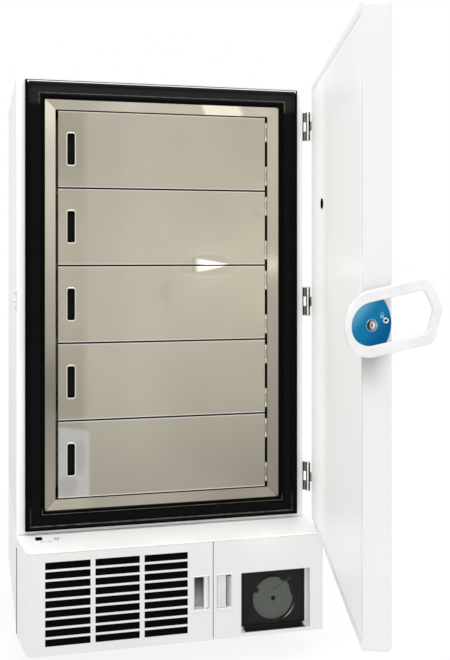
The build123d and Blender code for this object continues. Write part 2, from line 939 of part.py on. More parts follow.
def door_switch_plunger():
    """Round plunger that stands just proud of the ledge."""
    y = front - plunger_from_front
    stem_z = (body_bottom - ledge_thickness - plunger_length, body_bottom + plunger_proud)
    stem = upright(plunger_x, y, stem_z, plunger_radius)
    foot = upright(
        plunger_x,
        y,
        (body_bottom - ledge_thickness - plunger_collar, body_bottom - ledge_thickness),
        1.4 * plunger_radius,
    )
    return fillet((stem + foot).edges().sort_by(Axis.Z)[-1], 1)


def panel_shell(x, rear):
    """A panel's sheet: the cover's plan between two widths, hollow behind, with lips all round."""
    z = (ground_clearance, panel_top)
    span = block(x, (cover_front, rear), z)
    outside = cover_prism(0, rear, z) & span
    hollow = cover_prism(cover_sheet, rear, (z[0] + cover_sheet, z[1] - cover_sheet))
    hollow &= block((x[0] + cover_sheet, x[1] - cover_sheet), (cover_front, rear), z)
    return outside - hollow


def trimmed(panel, x, side):
    """Cuts a panel's bottom, top and seam returns back to a lip, and bores them for its pins."""
    lip_back = cover_front + panel_lip
    rear = front - panel_return_gap
    wall = 2 * cover_sheet + cover_taper
    keep = (x[0] + wall, x[1] + 1) if side < 0 else (x[0] - 1, x[1] - wall)
    panel -= block(keep, (lip_back, rear), (ground_clearance - 1, panel_top + 1))
    z = (ground_clearance, panel_top)
    return panel - upright(side * panel_pivot_x, panel_pivot_y, z, panel_pin_radius + panel_pin_clearance)


def latch_cup(panel, middle, side, width, slope):
    """Presses the flush latch's cup into a panel: sloped on the side away from the paddle."""
    z = (latch_cup_middle - latch_cup_height / 2, latch_cup_middle + latch_cup_height / 2)
    x = (middle - latch_cup_width / 2, middle + latch_cup_width / 2)
    floor = cover_front + latch_cup_depth
    cup = block(
        (x[0] - latch_cup_wall, x[1] + latch_cup_wall),
        (cover_front, floor + latch_cup_wall),
        (z[0] - latch_cup_wall, z[1] + latch_cup_wall),
    )
    hollow = block(x, (cover_front, floor), z)
    hollow = fillet(hollow.edges().filter_by(Axis.Y), latch_cup_radius)
    edge = middle - side * latch_cup_width / 2
    corners = ((edge, cover_front), (edge, floor), (edge + side * slope, floor))
    hollow -= Pos(0, 0, z[0]) * extrude(make_face(Polyline(*corners, close=True)), latch_cup_height)
    x_pin, y_pin = paddle_pivot(middle, side, width)
    pin_holes = (z[0] - paddle_clearance, z[1] + paddle_clearance)
    hollow += upright(x_pin, y_pin, pin_holes, paddle_pin_radius + paddle_pin_clearance)
    return (panel + cup) - hollow


def paddle_pivot(middle, side, width):
    """Where a latch paddle's pins stand, from its cup's middle."""
    floor = cover_front + latch_cup_depth
    return middle + side * (latch_cup_width / 2 - width), floor - paddle_pin_from_floor


def latch_paddle(middle, side, width, recess):
    """Upright paddle in a latch cup: a bar with a plate beside it, and pins in the cup's ends."""
    x_pin, y_pin = paddle_pivot(middle, side, width)
    half = latch_cup_height / 2 - paddle_clearance
    y = cover_front + paddle_set_back
    z = (latch_cup_middle - half, latch_cup_middle + half)
    x = sorted((x_pin, x_pin + side * (width - paddle_clearance)))
    plate = block(x, (y + recess, y + recess + paddle_thickness), z)
    tail = cover_front + latch_cup_depth - paddle_tail_gap
    bar = block((x_pin - paddle_bar / 2, x_pin + paddle_bar / 2), (y, tail), z)
    pin_reach = 2 * paddle_clearance - 0.3
    pins = upright(x_pin, y_pin, (z[0] - pin_reach, z[1] + pin_reach), paddle_pin_radius)
    return plate + bar + pins


def grille_panel():
    """Left panel: three columns of air slots, a tapered side wall and a latch cup."""
    x = (-half_width, panel_seam - panel_seam_gap / 2)
    panel = trimmed(panel_shell(x, front - panel_return_gap), x, -1)
    slots = []
    for column in range(grille_columns):
        left = grille_left + column * (grille_slot_width + grille_bar)
        for row in range(grille_rows):
            top = grille_top - row * grille_row_pitch
            slots.append(
                block(
                    (left, left + grille_slot_width),
                    (cover_front, cover_front + cover_sheet),
                    (top - grille_slot_height, top),
                )
            )
    return latch_cup(panel.cut(*slots), grille_cup_middle, 1, grille_paddle_width, grille_cup_slope)


def air_filter():
    """Filter pad clipped behind the air slots."""
    margin = 8
    right = grille_left + grille_columns * (grille_slot_width + grille_bar) - grille_bar
    low = grille_top - (grille_rows - 1) * grille_row_pitch - grille_slot_height
    y = cover_front + cover_sheet
    x = (grille_left - margin, right + margin)
    return block(x, (y, y + filter_thickness), (low - margin, grille_top + margin))


def recorder_panel():
    """Right panel: a deep window reveal and a latch cup."""
    x = (panel_seam + panel_seam_gap / 2, half_width)
    panel = trimmed(panel_shell(x, front - panel_return_gap), x, 1)
    sheet = window_reveal_sheet
    reveal = block(
        (window_left - sheet, window_right + sheet),
        (cover_front, pane_front + window_pane),
        (window_low - sheet, window_high + sheet),
    )
    hole = block(
        (window_left, window_right), (cover_front, pane_front + window_pane), (window_low, window_high)
    )
    lip_y = (pane_front - window_lip_sheet, pane_front)
    lip = block((window_left, window_right), lip_y, (window_low, window_high))
    lip -= block(
        (window_left + window_lip, window_right - window_lip),
        lip_y,
        (window_low + window_lip, window_high - window_lip),
    )
    panel = (panel + reveal) - hole + lip
    return latch_cup(panel, recorder_cup_middle, -1, recorder_paddle_width, recorder_cup_slope)


def recorder_window():
    """Clear pane behind the reveal's lip."""
    y = (pane_front, pane_front + window_pane)
    return block((window_left, window_right), y, (window_low, window_high))


recorder_face = pane_front + window_pane + recorder_face_gap


def recorder_case():
    """Recorder box behind the window, on a bracket from the base pan."""
    margin = 4
    box = block(
        (window_left + margin, window_right - margin),
        (recorder_face, recorder_face + recorder_depth),
        (window_low + margin, window_high - margin),
    )
    box += block(
        (window_left + 40, window_right - 40),
        (recorder_face + 20, recorder_face + recorder_depth),
        (ground_clearance + pan_sheet + cover_sheet, window_low + margin),
    )
    spindle = chart_spindle_radius
    box += along((chart_x, recorder_face, chart_height), (0, -1, 0), spindle, recorder_face_gap / 2 + 1)
    pivot = (pen_pivot_x, recorder_face, pen_pivot_height)
    return box + along(pivot, (0, -1, 0), spindle / 2, recorder_face_gap / 2 + 1)


def chart_disc():
    """Round paper chart on its driven hub."""
    middle = (chart_x, recorder_face - 0.6, chart_height)
    disc = along(middle, (0, -1, 0), chart_radius, chart_thickness)
    disc += along(middle, (0, -1, 0), chart_hub_radius, chart_thickness + 2)
    bore = chart_spindle_radius + chart_clearance
    return disc - along(middle, (0, -1, 0), bore, chart_thickness + 2)


def recorder_pen():
    """Pen arm that reaches over the chart from its pivot."""
    y = recorder_face - 0.6 - chart_thickness - pen_gap
    pivot = (pen_pivot_x, y, pen_pivot_height)
    boss = along(pivot, (0, -1, 0), pen_pivot_radius, 1.2)
    arm_z = (pen_pivot_height - 1.5, pen_pivot_height + 1.5)
    arm = block((pen_pivot_x - pen_length, pen_pivot_x), (y - 1.2, y), arm_z)
    arm = arm.rotate(Axis(pivot, (0, 1, 0)), -30)
    return (arm + boss) - along(pivot, (0, -1, 0), chart_spindle_radius / 2 + chart_clearance, 1.2)


def base_frame():
    """Pan, side walls, centre post and top rails of the machine compartment."""
    low = ground_clearance
    side_front = front - side_wall_front
    pan = block(both(half_width), (side_front, back), (low, low + pan_sheet))
    pan += block(
        both(half_width - cover_taper - 2 * cover_sheet - 8),
        (cover_front + panel_lip + 6, side_front),
        (low + cover_sheet, low + pan_sheet + cover_sheet),
    )
    pan += block(
        both(half_width - cover_taper - 2 * cover_sheet - 8),
        (side_front, side_front + 2 * pan_sheet),
        (low, low + pan_sheet + cover_sheet),
    )
    for side in (-1, 1):
        pivot = side * panel_pivot_x
        lug = (low - panel_lug_thickness, low - panel_pin_clearance * 4)
        reach = (pivot - panel_lug_radius, pivot + panel_lug_radius)
        pan += block(reach, (panel_pivot_y, side_front), lug)
        pan += block(reach, (side_front, side_front + 2 * panel_lug_radius), (lug[0], low))
        pan += upright(pivot, panel_pivot_y, lug, panel_lug_radius)
        pan += upright(pivot, panel_pivot_y, (lug[0], low + 2 * cover_sheet), panel_pin_radius)
        x = sorted((side * (half_width - wall_sheet), side * half_width))
        pan += block(x, (side_front, front), (low, body_bottom - ledge_thickness))
        pan += block(x, (front, back), (low, body_bottom))
        rail = sorted((side * (half_width - 30), side * half_width))
        pan += block(rail, (front, back), (body_bottom - wall_sheet, body_bottom))
    rail_z = (body_bottom - wall_sheet, body_bottom)
    rear_rail = block(both(half_width - wall_sheet), (back - 30, back), rail_z)
    post = block(
        (panel_seam - centre_post_width / 2, panel_seam + centre_post_width / 2),
        (cover_front + panel_lip + 6, cover_front + panel_lip + 6 + wall_sheet),
        (low + pan_sheet + cover_sheet, body_bottom - ledge_thickness),
    )
    return pan + rear_rail + post


def rear_grille():
    """Slotted sheet that closes the back of the machine compartment."""
    low = ground_clearance + pan_sheet
    top = body_bottom - wall_sheet
    sheet = block(both(half_width - wall_sheet), (back - wall_sheet, back), (low, top))
    slots = []
    for row in range(rear_grille_rows):
        start = low + rear_slot_low + row * rear_slot_pitch
        for column in range(rear_grille_columns):
            x = -half_width + rear_slot_side + column * (rear_slot_width + rear_slot_gap)
            slots.append(
                block((x, x + rear_slot_width), (back - wall_sheet, back), (start, start + rear_slot_height))
            )
    return sheet.cut(*slots)


condenser_y = front + condenser_front


def condenser():
    """Finned coil: flat fins on rows of tubes, in two end plates that stand on the pan."""
    y = (condenser_y, condenser_y + condenser_depth)
    pitch = (condenser_right - condenser_left) / (fin_count + 1)
    plates = []
    for number in range(fin_count + 2):
        x = condenser_left + number * pitch
        end = number in (0, fin_count + 1)
        low = ground_clearance + pan_sheet if end else condenser_low
        plates.append(block((x, x + fin_thickness), y, (low, condenser_high)))
    rows = []
    rise = (condenser_high - condenser_low) / tube_rows
    for number in range(tube_rows):
        height = condenser_low + rise * (number + 0.5)
        start = (condenser_left, condenser_y + condenser_depth / 2, height)
        rows.append(along(start, (1, 0, 0), tube_radius, condenser_right - condenser_left + fin_thickness))
    return plates[0].fuse(*plates[1:], *rows)


fan_x = (condenser_left + condenser_right) / 2
fan_height = (condenser_low + condenser_high) / 2
shroud_front = condenser_y + condenser_depth


def fan_shroud():
    """Sheet duct behind the condenser with a round throat for the fan, and the motor's arms."""
    rear = shroud_front + shroud_depth
    z = (ground_clearance + pan_sheet, condenser_high)
    x = (condenser_left, condenser_right + fin_thickness)
    duct = block(x, (shroud_front, rear), z) - block(
        (x[0] + shroud_sheet, x[1] - shroud_sheet),
        (shroud_front, rear - shroud_sheet),
        (z[0] + shroud_sheet, z[1] - shroud_sheet),
    )
    throat = fan_radius + fan_tip_gap
    duct -= along((fan_x, rear - shroud_sheet, fan_height), (0, 1, 0), throat, shroud_sheet)
    for side in (-1, 1):
        arm = sorted((fan_x + side * motor_radius, fan_x + side * (throat + 12)))
        duct += block(arm, (rear + 20, rear + 20 + 3), (fan_height - 8, fan_height + 8))
        foot = sorted((fan_x + side * (throat + 9), fan_x + side * (throat + 12)))
        duct += block(foot, (rear, rear + 20), (fan_height - 8, fan_height + 8))
    return duct


fan_y = shroud_front + shroud_depth - shroud_sheet


def fan_motor():
    """Motor held by the shroud's arms, with its shaft forward into the fan."""
    start = (fan_x, fan_y + motor_gap, fan_height)
    body = along(start, (0, 1, 0), motor_radius, motor_length)
    body = fillet(body.edges(), motor_edge_radius)
    tip = fan_y - 0.6 * fan_hub_length + fan_hub_wall
    return body + along((fan_x, tip, fan_height), (0, 1, 0), fan_shaft_radius, fan_shaft_length)


def condenser_fan():
    """Fan with pitched blades on a cupped hub."""
    start = fan_y - 0.6 * fan_hub_length
    hub = along((fan_x, start, fan_height), (0, 1, 0), fan_hub_radius, fan_hub_length)
    bore = fan_shaft_radius + fan_shaft_clearance
    hub -= along((fan_x, start + fan_hub_wall, fan_height), (0, 1, 0), bore, fan_hub_length)
    blade = Box(fan_radius - fan_hub_radius + fan_blade_root, fan_blade_thickness, fan_blade_chord)
    blade = fillet(blade.edges().filter_by(Axis.Y), fan_blade_corner)
    reach = (fan_radius + fan_hub_radius - fan_blade_root) / 2
    blade = Pos(reach, 0, 0) * (Rot(fan_blade_pitch, 0, 0) * blade)
    trim = along((0, -fan_blade_chord, 0), (0, 1, 0), fan_radius, 2 * fan_blade_chord)
    blade = blade & trim
    for number in range(fan_blades):
        turned = Rot(0, number * 360 / fan_blades, 0) * blade
        hub += Pos(fan_x, fan_y - fan_blade_thickness, fan_height) * turned
    return hub


def compressor(x):
    """Hermetic compressor: a domed can on four feet, with its terminal cover."""
    low = ground_clearance + pan_sheet
    can_bottom = low + compressor_foot
    r = compressor_radius
    top = can_bottom + compressor_height
    low_corners = ((0, can_bottom), (0.8 * r, can_bottom), (r, can_bottom + 40))
    high_corners = ((r, top - 60), (0.75 * r, top), (0, top))
    profile = FilletPolyline(*low_corners, *high_corners, radius=18)
    closing = Line(profile @ 1, profile @ 0)
    face = make_face(Wire([*(Plane.XZ * profile).edges(), *(Plane.XZ * closing).edges()]))
    can = revolve(face, Axis.Z)
    plate = Pos(0, 0, can_bottom - 4) * extrude(RectangleRounded(2 * r, 1.5 * r, 12), 8)
    terminal = block((r - 12, r + 24), (-28, 28), (can_bottom + 70, can_bottom + 130))
    body = can + plate + terminal
    for fx in (-1, 1):
        for fy in (-1, 1):
            body += upright(fx * 0.85 * r, fy * 0.6 * r, (low, can_bottom), 10)
    return Pos(x, compressor_y, 0) * body


def control_box():
    """Sheet box for the relays and the controller, on the right wall."""
    width, depth, height = control_box_size
    right = half_width - wall_sheet
    rear = back - 120
    top = body_bottom - wall_sheet - 20
    box = block((right - width, right), (rear - depth, rear), (top - height, top))
    return fillet(box.edges().filter_by(Axis.Y).group_by(Axis.X)[0], 6)


def levelling_feet():
    """Two screw feet under the front of the base."""
    y = front + foot_back
    feet = []
    for x in (-foot_x, foot_x):
        pad = upright(x, y, (0, foot_pad_height), foot_pad_radius)
        pad = fillet(pad.edges().sort_by(Axis.Z)[-1], 3)
        stem = upright(x, y, (foot_pad_height, ground_clearance), foot_stem_radius)
        nut = Pos(x, y, ground_clearance - 9) * extrude(RegularPolygon(11, 6), 9)
        feet.append(pad + stem + nut)
    return feet


caster_places = [
    (-caster_x, front + caster_front),
    (caster_x, front + caster_front),
    (-caster_x, back - caster_rear),
    (caster_x, back - caster_rear),
]
crown_top = ground_clearance - caster_plate - 4
crown_bottom = crown_top - caster_fork_sheet


def caster_plates():
    """Mounting plates under the pan, each with the pin that its fork swivels on."""
    plates = []
    for x, y in caster_places:
        plate = Pos(x, y, ground_clearance - caster_plate) * extrude(
            RectangleRounded(caster_plate_size, caster_plate_size, 8), caster_plate
        )
        plate += upright(x, y, (crown_bottom - 1, ground_clearance - caster_plate), caster_pin_radius)
        plates.append(plate + upright(x, y, (crown_bottom - 4, crown_bottom - 0.5), caster_pin_radius + 3))
    return plates


def caster_fork(x, y):
    """Swivelling fork: a crown on the pin and two cheeks that hold the axle."""
    inner = caster_wheel_width / 2 + caster_fork_gap
    outer = inner + caster_fork_sheet
    axle_y = y + caster_trail
    crown = upright(x, y, (crown_bottom, crown_top), 24)
    crown += block((x - outer, x + outer), (y - 12, axle_y + 14), (crown_bottom, crown_top))
    for side in (-1, 1):
        cheek = sorted((x + side * inner, x + side * outer))
        crown += block(cheek, (axle_y - 14, axle_y + 14), (caster_wheel_radius, crown_bottom))
        crown += along((cheek[0], axle_y, caster_wheel_radius), (1, 0, 0), 14, caster_fork_sheet)
    crown += along((x - outer, axle_y, caster_wheel_radius), (1, 0, 0), caster_axle_radius, 2 * outer)
    return crown - upright(x, y, (crown_bottom - 1, crown_top + 1), caster_pin_radius + caster_clearance)


def caster_wheel(x, y):
    """Wheel with a rounded tread and a bored hub."""
    start = (x - caster_wheel_width / 2, y + caster_trail, caster_wheel_radius)
    wheel = along(start, (1, 0, 0), caster_wheel_radius, caster_wheel_width)
    wheel = fillet(wheel.edges(), 6)
    return wheel - along(start, (1, 0, 0), caster_axle_radius + caster_clearance, caster_wheel_width)


def main():
    os.makedirs("parts", exist_ok=True)
    write("outer_case", outer_case())
    write("back_panel", back_panel())
    write("body_insulation", body_insulation())
    write("inner_liner", inner_liner())
    write("evaporator", evaporator())
    write("breaker_frame", *breaker_frame())
    write("body_gasket", body_gasket())
    write("shelf_supports", *shelf_supports())
    for number in range(1, inner_door_count):
        write(f"shelf_{number}", shelf(number))
    for number in range(1, inner_door_count + 1):
        write(f"inner_door_{number}", inner_door(number))
    write("inner_hinge_leaves", *inner_hinge_leaves())
    write("door_shell", door_shell())
    write("door_liner", door_liner())
    write("door_foam", door_foam())
    write("relief_port", relief_port())
    write("cabinet_hinge_leaves", *cabinet_hinge_leaves())
    write("door_hinge_leaves", *door_hinge_leaves())
    write("latch_housing", latch_housing())
    write("handle_ring", handle_ring())
    write("handle_hub", handle_hub())
    write("key_lock", key_lock())
    write("strike_plate", strike_plate())
    write("base_frame", base_frame())
    write("base_ledge", base_ledge())
    write("ledge_plate", ledge_plate())
    write("door_switch_plunger", door_switch_plunger())
    write("grille_panel", grille_panel())
    grille_paddle = latch_paddle(grille_cup_middle, 1, grille_paddle_width, grille_paddle_recess)
    write("grille_latch_paddle", grille_paddle)
    write("air_filter", air_filter())
    write("recorder_panel", recorder_panel())
    paddle = latch_paddle(recorder_cup_middle, -1, recorder_paddle_width, recorder_paddle_recess)
    write("recorder_latch_paddle", paddle)
    write("recorder_window", recorder_window())
    write("recorder_case", recorder_case())
    write("chart_disc", chart_disc())
    write("recorder_pen", recorder_pen())
    write("rear_grille", rear_grille())
    write("condenser", condenser())
    write("fan_shroud", fan_shroud())
    write("fan_motor", fan_motor())
    write("condenser_fan", condenser_fan())
    write("compressor_high_stage", compressor(compressor_positions[0]))
    write("compressor_low_stage", compressor(compressor_positions[1]))
    write("control_box", control_box())
    write("levelling_feet", *levelling_feet())
    write("caster_plates", *caster_plates())
    for number, (x, y) in enumerate(caster_places, start=1):
        write(f"caster_fork_{number}", caster_fork(x, y))
        write(f"caster_wheel_{number}", caster_wheel(x, y))


main()
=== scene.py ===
# %% [markdown]
# An upright laboratory freezer, dressed for its portrait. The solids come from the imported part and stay
# exactly where they are. This file gives each of them a finish, and adds the pieces that are too soft, too
# thin or too small to be worth a solid.

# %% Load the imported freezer
from math import cos, pi, radians, sin

import bpy
from mathutils import Matrix, Vector


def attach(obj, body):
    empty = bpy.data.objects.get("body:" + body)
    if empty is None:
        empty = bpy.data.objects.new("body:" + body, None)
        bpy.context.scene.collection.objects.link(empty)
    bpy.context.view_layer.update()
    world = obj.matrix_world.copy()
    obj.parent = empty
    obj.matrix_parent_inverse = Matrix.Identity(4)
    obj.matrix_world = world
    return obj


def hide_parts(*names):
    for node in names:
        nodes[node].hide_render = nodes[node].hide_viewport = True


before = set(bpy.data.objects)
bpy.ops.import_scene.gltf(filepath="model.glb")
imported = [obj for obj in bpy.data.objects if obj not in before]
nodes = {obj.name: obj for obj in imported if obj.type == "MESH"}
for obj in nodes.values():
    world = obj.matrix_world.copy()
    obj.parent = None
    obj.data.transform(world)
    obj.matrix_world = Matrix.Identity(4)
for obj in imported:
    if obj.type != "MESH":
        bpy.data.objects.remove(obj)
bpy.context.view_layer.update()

# %% [markdown]
# The freezer's own sizes, in metres, with X to the right, Y to the back and Z up from the floor. The outer
# door is drawn open, so what belongs on it is first built as if the door were shut, and then turned about
# the hinge.

# %% Places that the pieces share
MM = 0.001
FRONT = -377.5 * MM
HALF_WIDTH = 507.5 * MM
CHAMBER_HALF = 377.5 * MM
CHAMBER_LOW, CHAMBER_HIGH = 533 * MM, 1854 * MM
DOOR_INNER = FRONT - 20 * MM
DOOR_DEGREES = 74
HINGE = Vector((524 * MM, FRONT - 10 * MM, 0))
DOOR_TURN = Matrix.Rotation(radians(DOOR_DEGREES), 4, "Z")
DOOR_OPEN = Matrix.Translation(HINGE) @ DOOR_TURN @ Matrix.Translation(-HINGE)
LATCH = Vector((-HALF_WIDTH - 14.4 * MM, DOOR_INNER - 15.3 * MM, 1200 * MM))
DOOR_PITCH, DOOR_TALL, DOOR_FOOT = 263.4 * MM, 259.4 * MM, 537 * MM
CHAMBER_DOOR_MIDDLES = [DOOR_FOOT + DOOR_TALL / 2 + DOOR_PITCH * step for step in range(5)]
RIM_FRONT = FRONT + 8.5 * MM
print("outer door turns about", tuple(round(c, 4) for c in HINGE))

# %% [markdown]
# A finish is a material whose look is worked out by nodes. Two small classes make the wiring readable.
# Value wraps one output socket and turns Python's + - * / into Math nodes. Finish owns the material.

# %% Shader maths as plain Python
class Value:
    """One output socket of a finish."""

    def __init__(self, finish, socket):
        self.finish = finish
        self.socket = socket

    def __add__(self, other):
        return maths("ADD", self, other)

    def __radd__(self, other):
        return maths("ADD", other, self)

    def __sub__(self, other):
        return maths("SUBTRACT", self, other)

    def __rsub__(self, other):
        return maths("SUBTRACT", other, self)

    def __mul__(self, other):
        return maths("MULTIPLY", self, other)

    def __rmul__(self, other):
        return maths("MULTIPLY", other, self)

    def __truediv__(self, other):
        return maths("DIVIDE", self, other)

    def between(self, low, high):
        """0 below low, 1 above high and a smooth rise from one to the other."""
        inputs = {"Value": self, "From Min": low, "From Max": high}
        return self.finish.node("ShaderNodeMapRange", {"interpolation_type": "SMOOTHSTEP"}, inputs)


def maths(operation, *terms):
    """A Math node. At least one of its terms is a Value."""
    finish = next(term.finish for term in terms if isinstance(term, Value))
    return finish.node("ShaderNodeMath", {"operation": operation}, terms)


class Finish:
    """A material on a Principled shader."""

    def __init__(self, name, fixed):
        self.material = bpy.data.materials.new(name)
        self.material.use_nodes = True
        self.tree = self.material.node_tree
        self.shader = self.tree.nodes["Principled BSDF"]
        for socket, value in fixed.items():
            self.shader.inputs[socket].default_value = value

    def node(self, kind, settings, inputs, output=0):
        made = self.tree.nodes.new(kind)
        for name, value in settings.items():
            setattr(made, name, value)
        for key, value in inputs.items() if isinstance(inputs, dict) else enumerate(inputs):
            self.feed(made.inputs[key], value)
        return Value(self, made.outputs[output])

    def feed(self, socket, value):
        if isinstance(value, Value):
            self.tree.links.new(value.socket, socket)
        else:
            socket.default_value = value

    def varies(self, socket, value):
        """Lets what changes over the surface into one of the shader's sockets."""
        self.feed(self.shader.inputs[socket], value)
        return self

    def colour(self, value):
        return self.varies("Base Color", value)

    def rough(self, value):
        return self.varies("Roughness", value)


print("finish and value are ready")

# %% [markdown]
# Most finishes want the same few things: a place, soft noise, a blend of two colours and a small bump.
# Places come from the object's own coordinates, so a pattern rides with its door.

# %% The few things that most finishes share
def place(finish):
    return finish.node("ShaderNodeTexCoord", {}, {}, "Object")


def axes(finish, letters, vector=None):
    """The coordinates that the letters name, of the place on the piece or of another vector."""
    vector = vector or place(finish)
    return [finish.node("ShaderNodeSeparateXYZ", {}, [vector], letter) for letter in letters]


def axis(finish, letter):
    return axes(finish, letter)[0]


def noise(finish, per_metre, detail=3, rough=0.5):
    """Noise from 0 to 1. The waves per metre are one number, or one each for X, Y and Z."""
    per_metre = per_metre if isinstance(per_metre, tuple) else (per_metre,) * 3
    spread = finish.node("ShaderNodeVectorMath", {"operation": "MULTIPLY"}, [place(finish), per_metre])
    inputs = {"Vector": spread, "Scale": 1, "Detail": detail, "Roughness": rough}
    return finish.node("ShaderNodeTexNoise", {}, inputs)


def blend(mask, low, high):
    """From one colour to another with the mask. The low one may itself come from nodes."""
    low = low if isinstance(low, Value) else (*low, 1)
    inputs = {0: mask, 6: low, 7: (*high, 1)}
    return mask.finish.node("ShaderNodeMix", {"data_type": "RGBA"}, inputs, 2)


def grey(level):
    return (level, level, level)


def shaded(tone, share):
    return tuple(c * share for c in tone)


def within(value, low, high, soft=1):
    """1 inside a span and 0 outside, with soft ends. The span is in millimetres."""
    rise = value.between((low - soft) * MM, (low + soft) * MM)
    return rise * (1 - value.between((high - soft) * MM, (high + soft) * MM))


def distance(across, up):
    return maths("SQRT", across * across + up * up)


def bump(height, depth_mm, strength=1.0):
    """Feeds a height into its finish's Normal and returns the finish."""
    inputs = {"Height": height, "Strength": strength, "Distance": depth_mm * MM}
    return height.finish.varies("Normal", height.finish.node("ShaderNodeBump", {}, inputs))


def dress(finish, *names):
    """Gives CAD nodes a finish through their material slots."""
    for name in names:
        slots = nodes[name].data.materials
        slots.clear()
        slots.append(finish.material)
    print(finish.material.name, "on", len(names), "nodes")


# %% [markdown]
# The cabinet is white powder coat. Baked powder has an orange peel of waves a few millimetres across, and
# its tone drifts over a big panel. Fingers and sleeves polish it unevenly, which the roughness shows.

# %% Powder coat
def powder_coat(name, tone, roughness=0.42):
    """Returns the finish and its colour, so that a piece can be toned further by place."""
    finish = Finish(name, {"IOR": 1.4})
    drift = noise(finish, (1.7, 1.7, 1.3), 2)
    smudge = noise(finish, (6, 6, 9), 4, 0.6)
    colour = blend(drift.between(0.35, 0.7), shaded(tone, 0.965), tone)
    finish.colour(colour)
    finish.rough(roughness - 0.06 + 0.12 * smudge)
    bump(noise(finish, 330, 2), 0.05, 0.35)
    return finish, colour


def case_coat():
    """Painted light makes the flange round the opening whiter than the sides, and painted shade makes the
    sides greyer towards the floor.
    """
    finish, colour = powder_coat("cabinet_powder_coat", (0.79, 0.79, 0.78))
    # painted shade: the sides grow greyer towards the floor
    painted_floor_shade = 1 - axis(finish, "Z").between(0.35, 1.5)
    colour = blend(painted_floor_shade * 0.8, colour, (0.62, 0.625, 0.625))
    # painted light: the flange round the opening is whitened
    flange = 1 - axis(finish, "Y").between(FRONT + 2 * MM, FRONT + 5 * MM)
    return finish.colour(blend(flange, colour, grey(0.94)))


def door_coat():
    """The skin just under the handle is painted a little darker, as the shadow that the handle casts on it.
    """
    finish, colour = powder_coat("door_powder_coat", (0.815, 0.815, 0.812), 0.36)
    across, out, height = axes(finish, "XYZ")
    # painted shadow under the handle, on the door's free end
    under = height.between(1.02, 1.12) * (1 - height.between(1.14, 1.16))
    free_end = (1 - out.between(-1.34, -1.30)) * (1 - across.between(0.262, 0.312))
    return finish.colour(blend(under * free_end * 0.8, colour, (0.42, 0.41, 0.40)))


def ledge_coat():
    """A painted shadow line lies along the front edge of the switch plate."""
    finish, colour = powder_coat("ledge_powder_coat", (0.94, 0.94, 0.93))
    across, out = axes(finish, "XY")
    # painted shadow along the switch plate's front edge
    plate_shadow_line = within(out, -461, -458.6, 0.3) * within(across, -436, -394)
    return finish.colour(blend(plate_shadow_line, colour, grey(0.22)))


dress(case_coat(), "outer_case")
dress(powder_coat("base_powder_coat", (0.75, 0.75, 0.74))[0], "base_frame")
dress(ledge_coat(), "base_ledge", "ledge_plate")
dress(door_coat(), "door_shell")

# %% [markdown]
# The two base panels wear the same coat, and shade is painted into their recesses: the left latch cup is
# painted black at its top, the right one has a painted black line along its left wall, and the window frame's
# foot is painted black.

# %% The base panels and their recesses
PANEL_FACE = -557.5 * MM
CUP_LOW, CUP_HIGH = 200, 308


def panel_coat():
    finish, colour = powder_coat("panel_powder_coat", (0.75, 0.75, 0.74))
    across, out, height = axes(finish, "XYZ")
    sunk = out.between(PANEL_FACE + 2.5 * MM, PANEL_FACE + 5 * MM)
    # painted shade in the recesses of the latch cups and of the window frame
    cup = sunk * within(height, CUP_LOW + 2, CUP_HIGH + 1)
    fade = height.between(CUP_LOW * MM, (CUP_HIGH - 8) * MM)
    left = cup * within(across, 64, 96, 3) * (0.55 + 0.43 * fade)
    line = 1 - across.between(168 * MM, 176 * MM)
    top = height.between((CUP_HIGH - 14) * MM, (CUP_HIGH - 6) * MM)
    corner = top * (1 - across.between(180 * MM, 186 * MM))
    right = cup * within(across, 160, 190) * maths("MAXIMUM", 0.25 + 0.65 * line, corner)
    foot = sunk * within(across, 234, 446, 5) * within(height, 108, 121)
    dark = maths("MINIMUM", left + right + foot, 1.0)
    return finish.colour(blend(dark, colour, (0.010, 0.009, 0.008)))


dress(panel_coat(), "grille_panel", "recorder_panel")

# %% [markdown]
# The chamber is stainless sheet with a satin grain that runs across: noise squeezed hard along Z gives long
# thin streaks. A very slow noise tilts the sheet by a hair, so that big soft reflections wander.

# %% Satin stainless
def satin_steel(name, roughness, waves_mm=0.6, coat=0.0):
    """Returns the finish, its tone still unset, with the streaks and clouds that tones are made from."""
    finish = Finish(name, {"Metallic": 1.0, "Coat Weight": coat, "Coat Roughness": 0.04})
    streak = noise(finish, (5, 160, 1500), 3, 0.7)
    cloud = noise(finish, (3.2, 3.2, 2.6), 3, 0.55)
    finish.rough(roughness + 0.10 * (streak - 0.5) + 0.08 * (cloud - 0.5))
    bump(streak * 0.012 + noise(finish, (2.4, 2.4, 3.1), 1), waves_mm, 0.6)
    return finish, streak * 0.45 + cloud.between(0.3, 0.75) * 0.55


chamber_tone = (0.62, 0.61, 0.58)
chamber_steel, grain = satin_steel("chamber_steel", 0.38)
chamber_steel.colour(blend(grain, shaded(chamber_tone, 0.86), chamber_tone))
dress(chamber_steel, "inner_liner", "shelf_supports", *[f"shelf_{number}" for number in range(1, 5)])
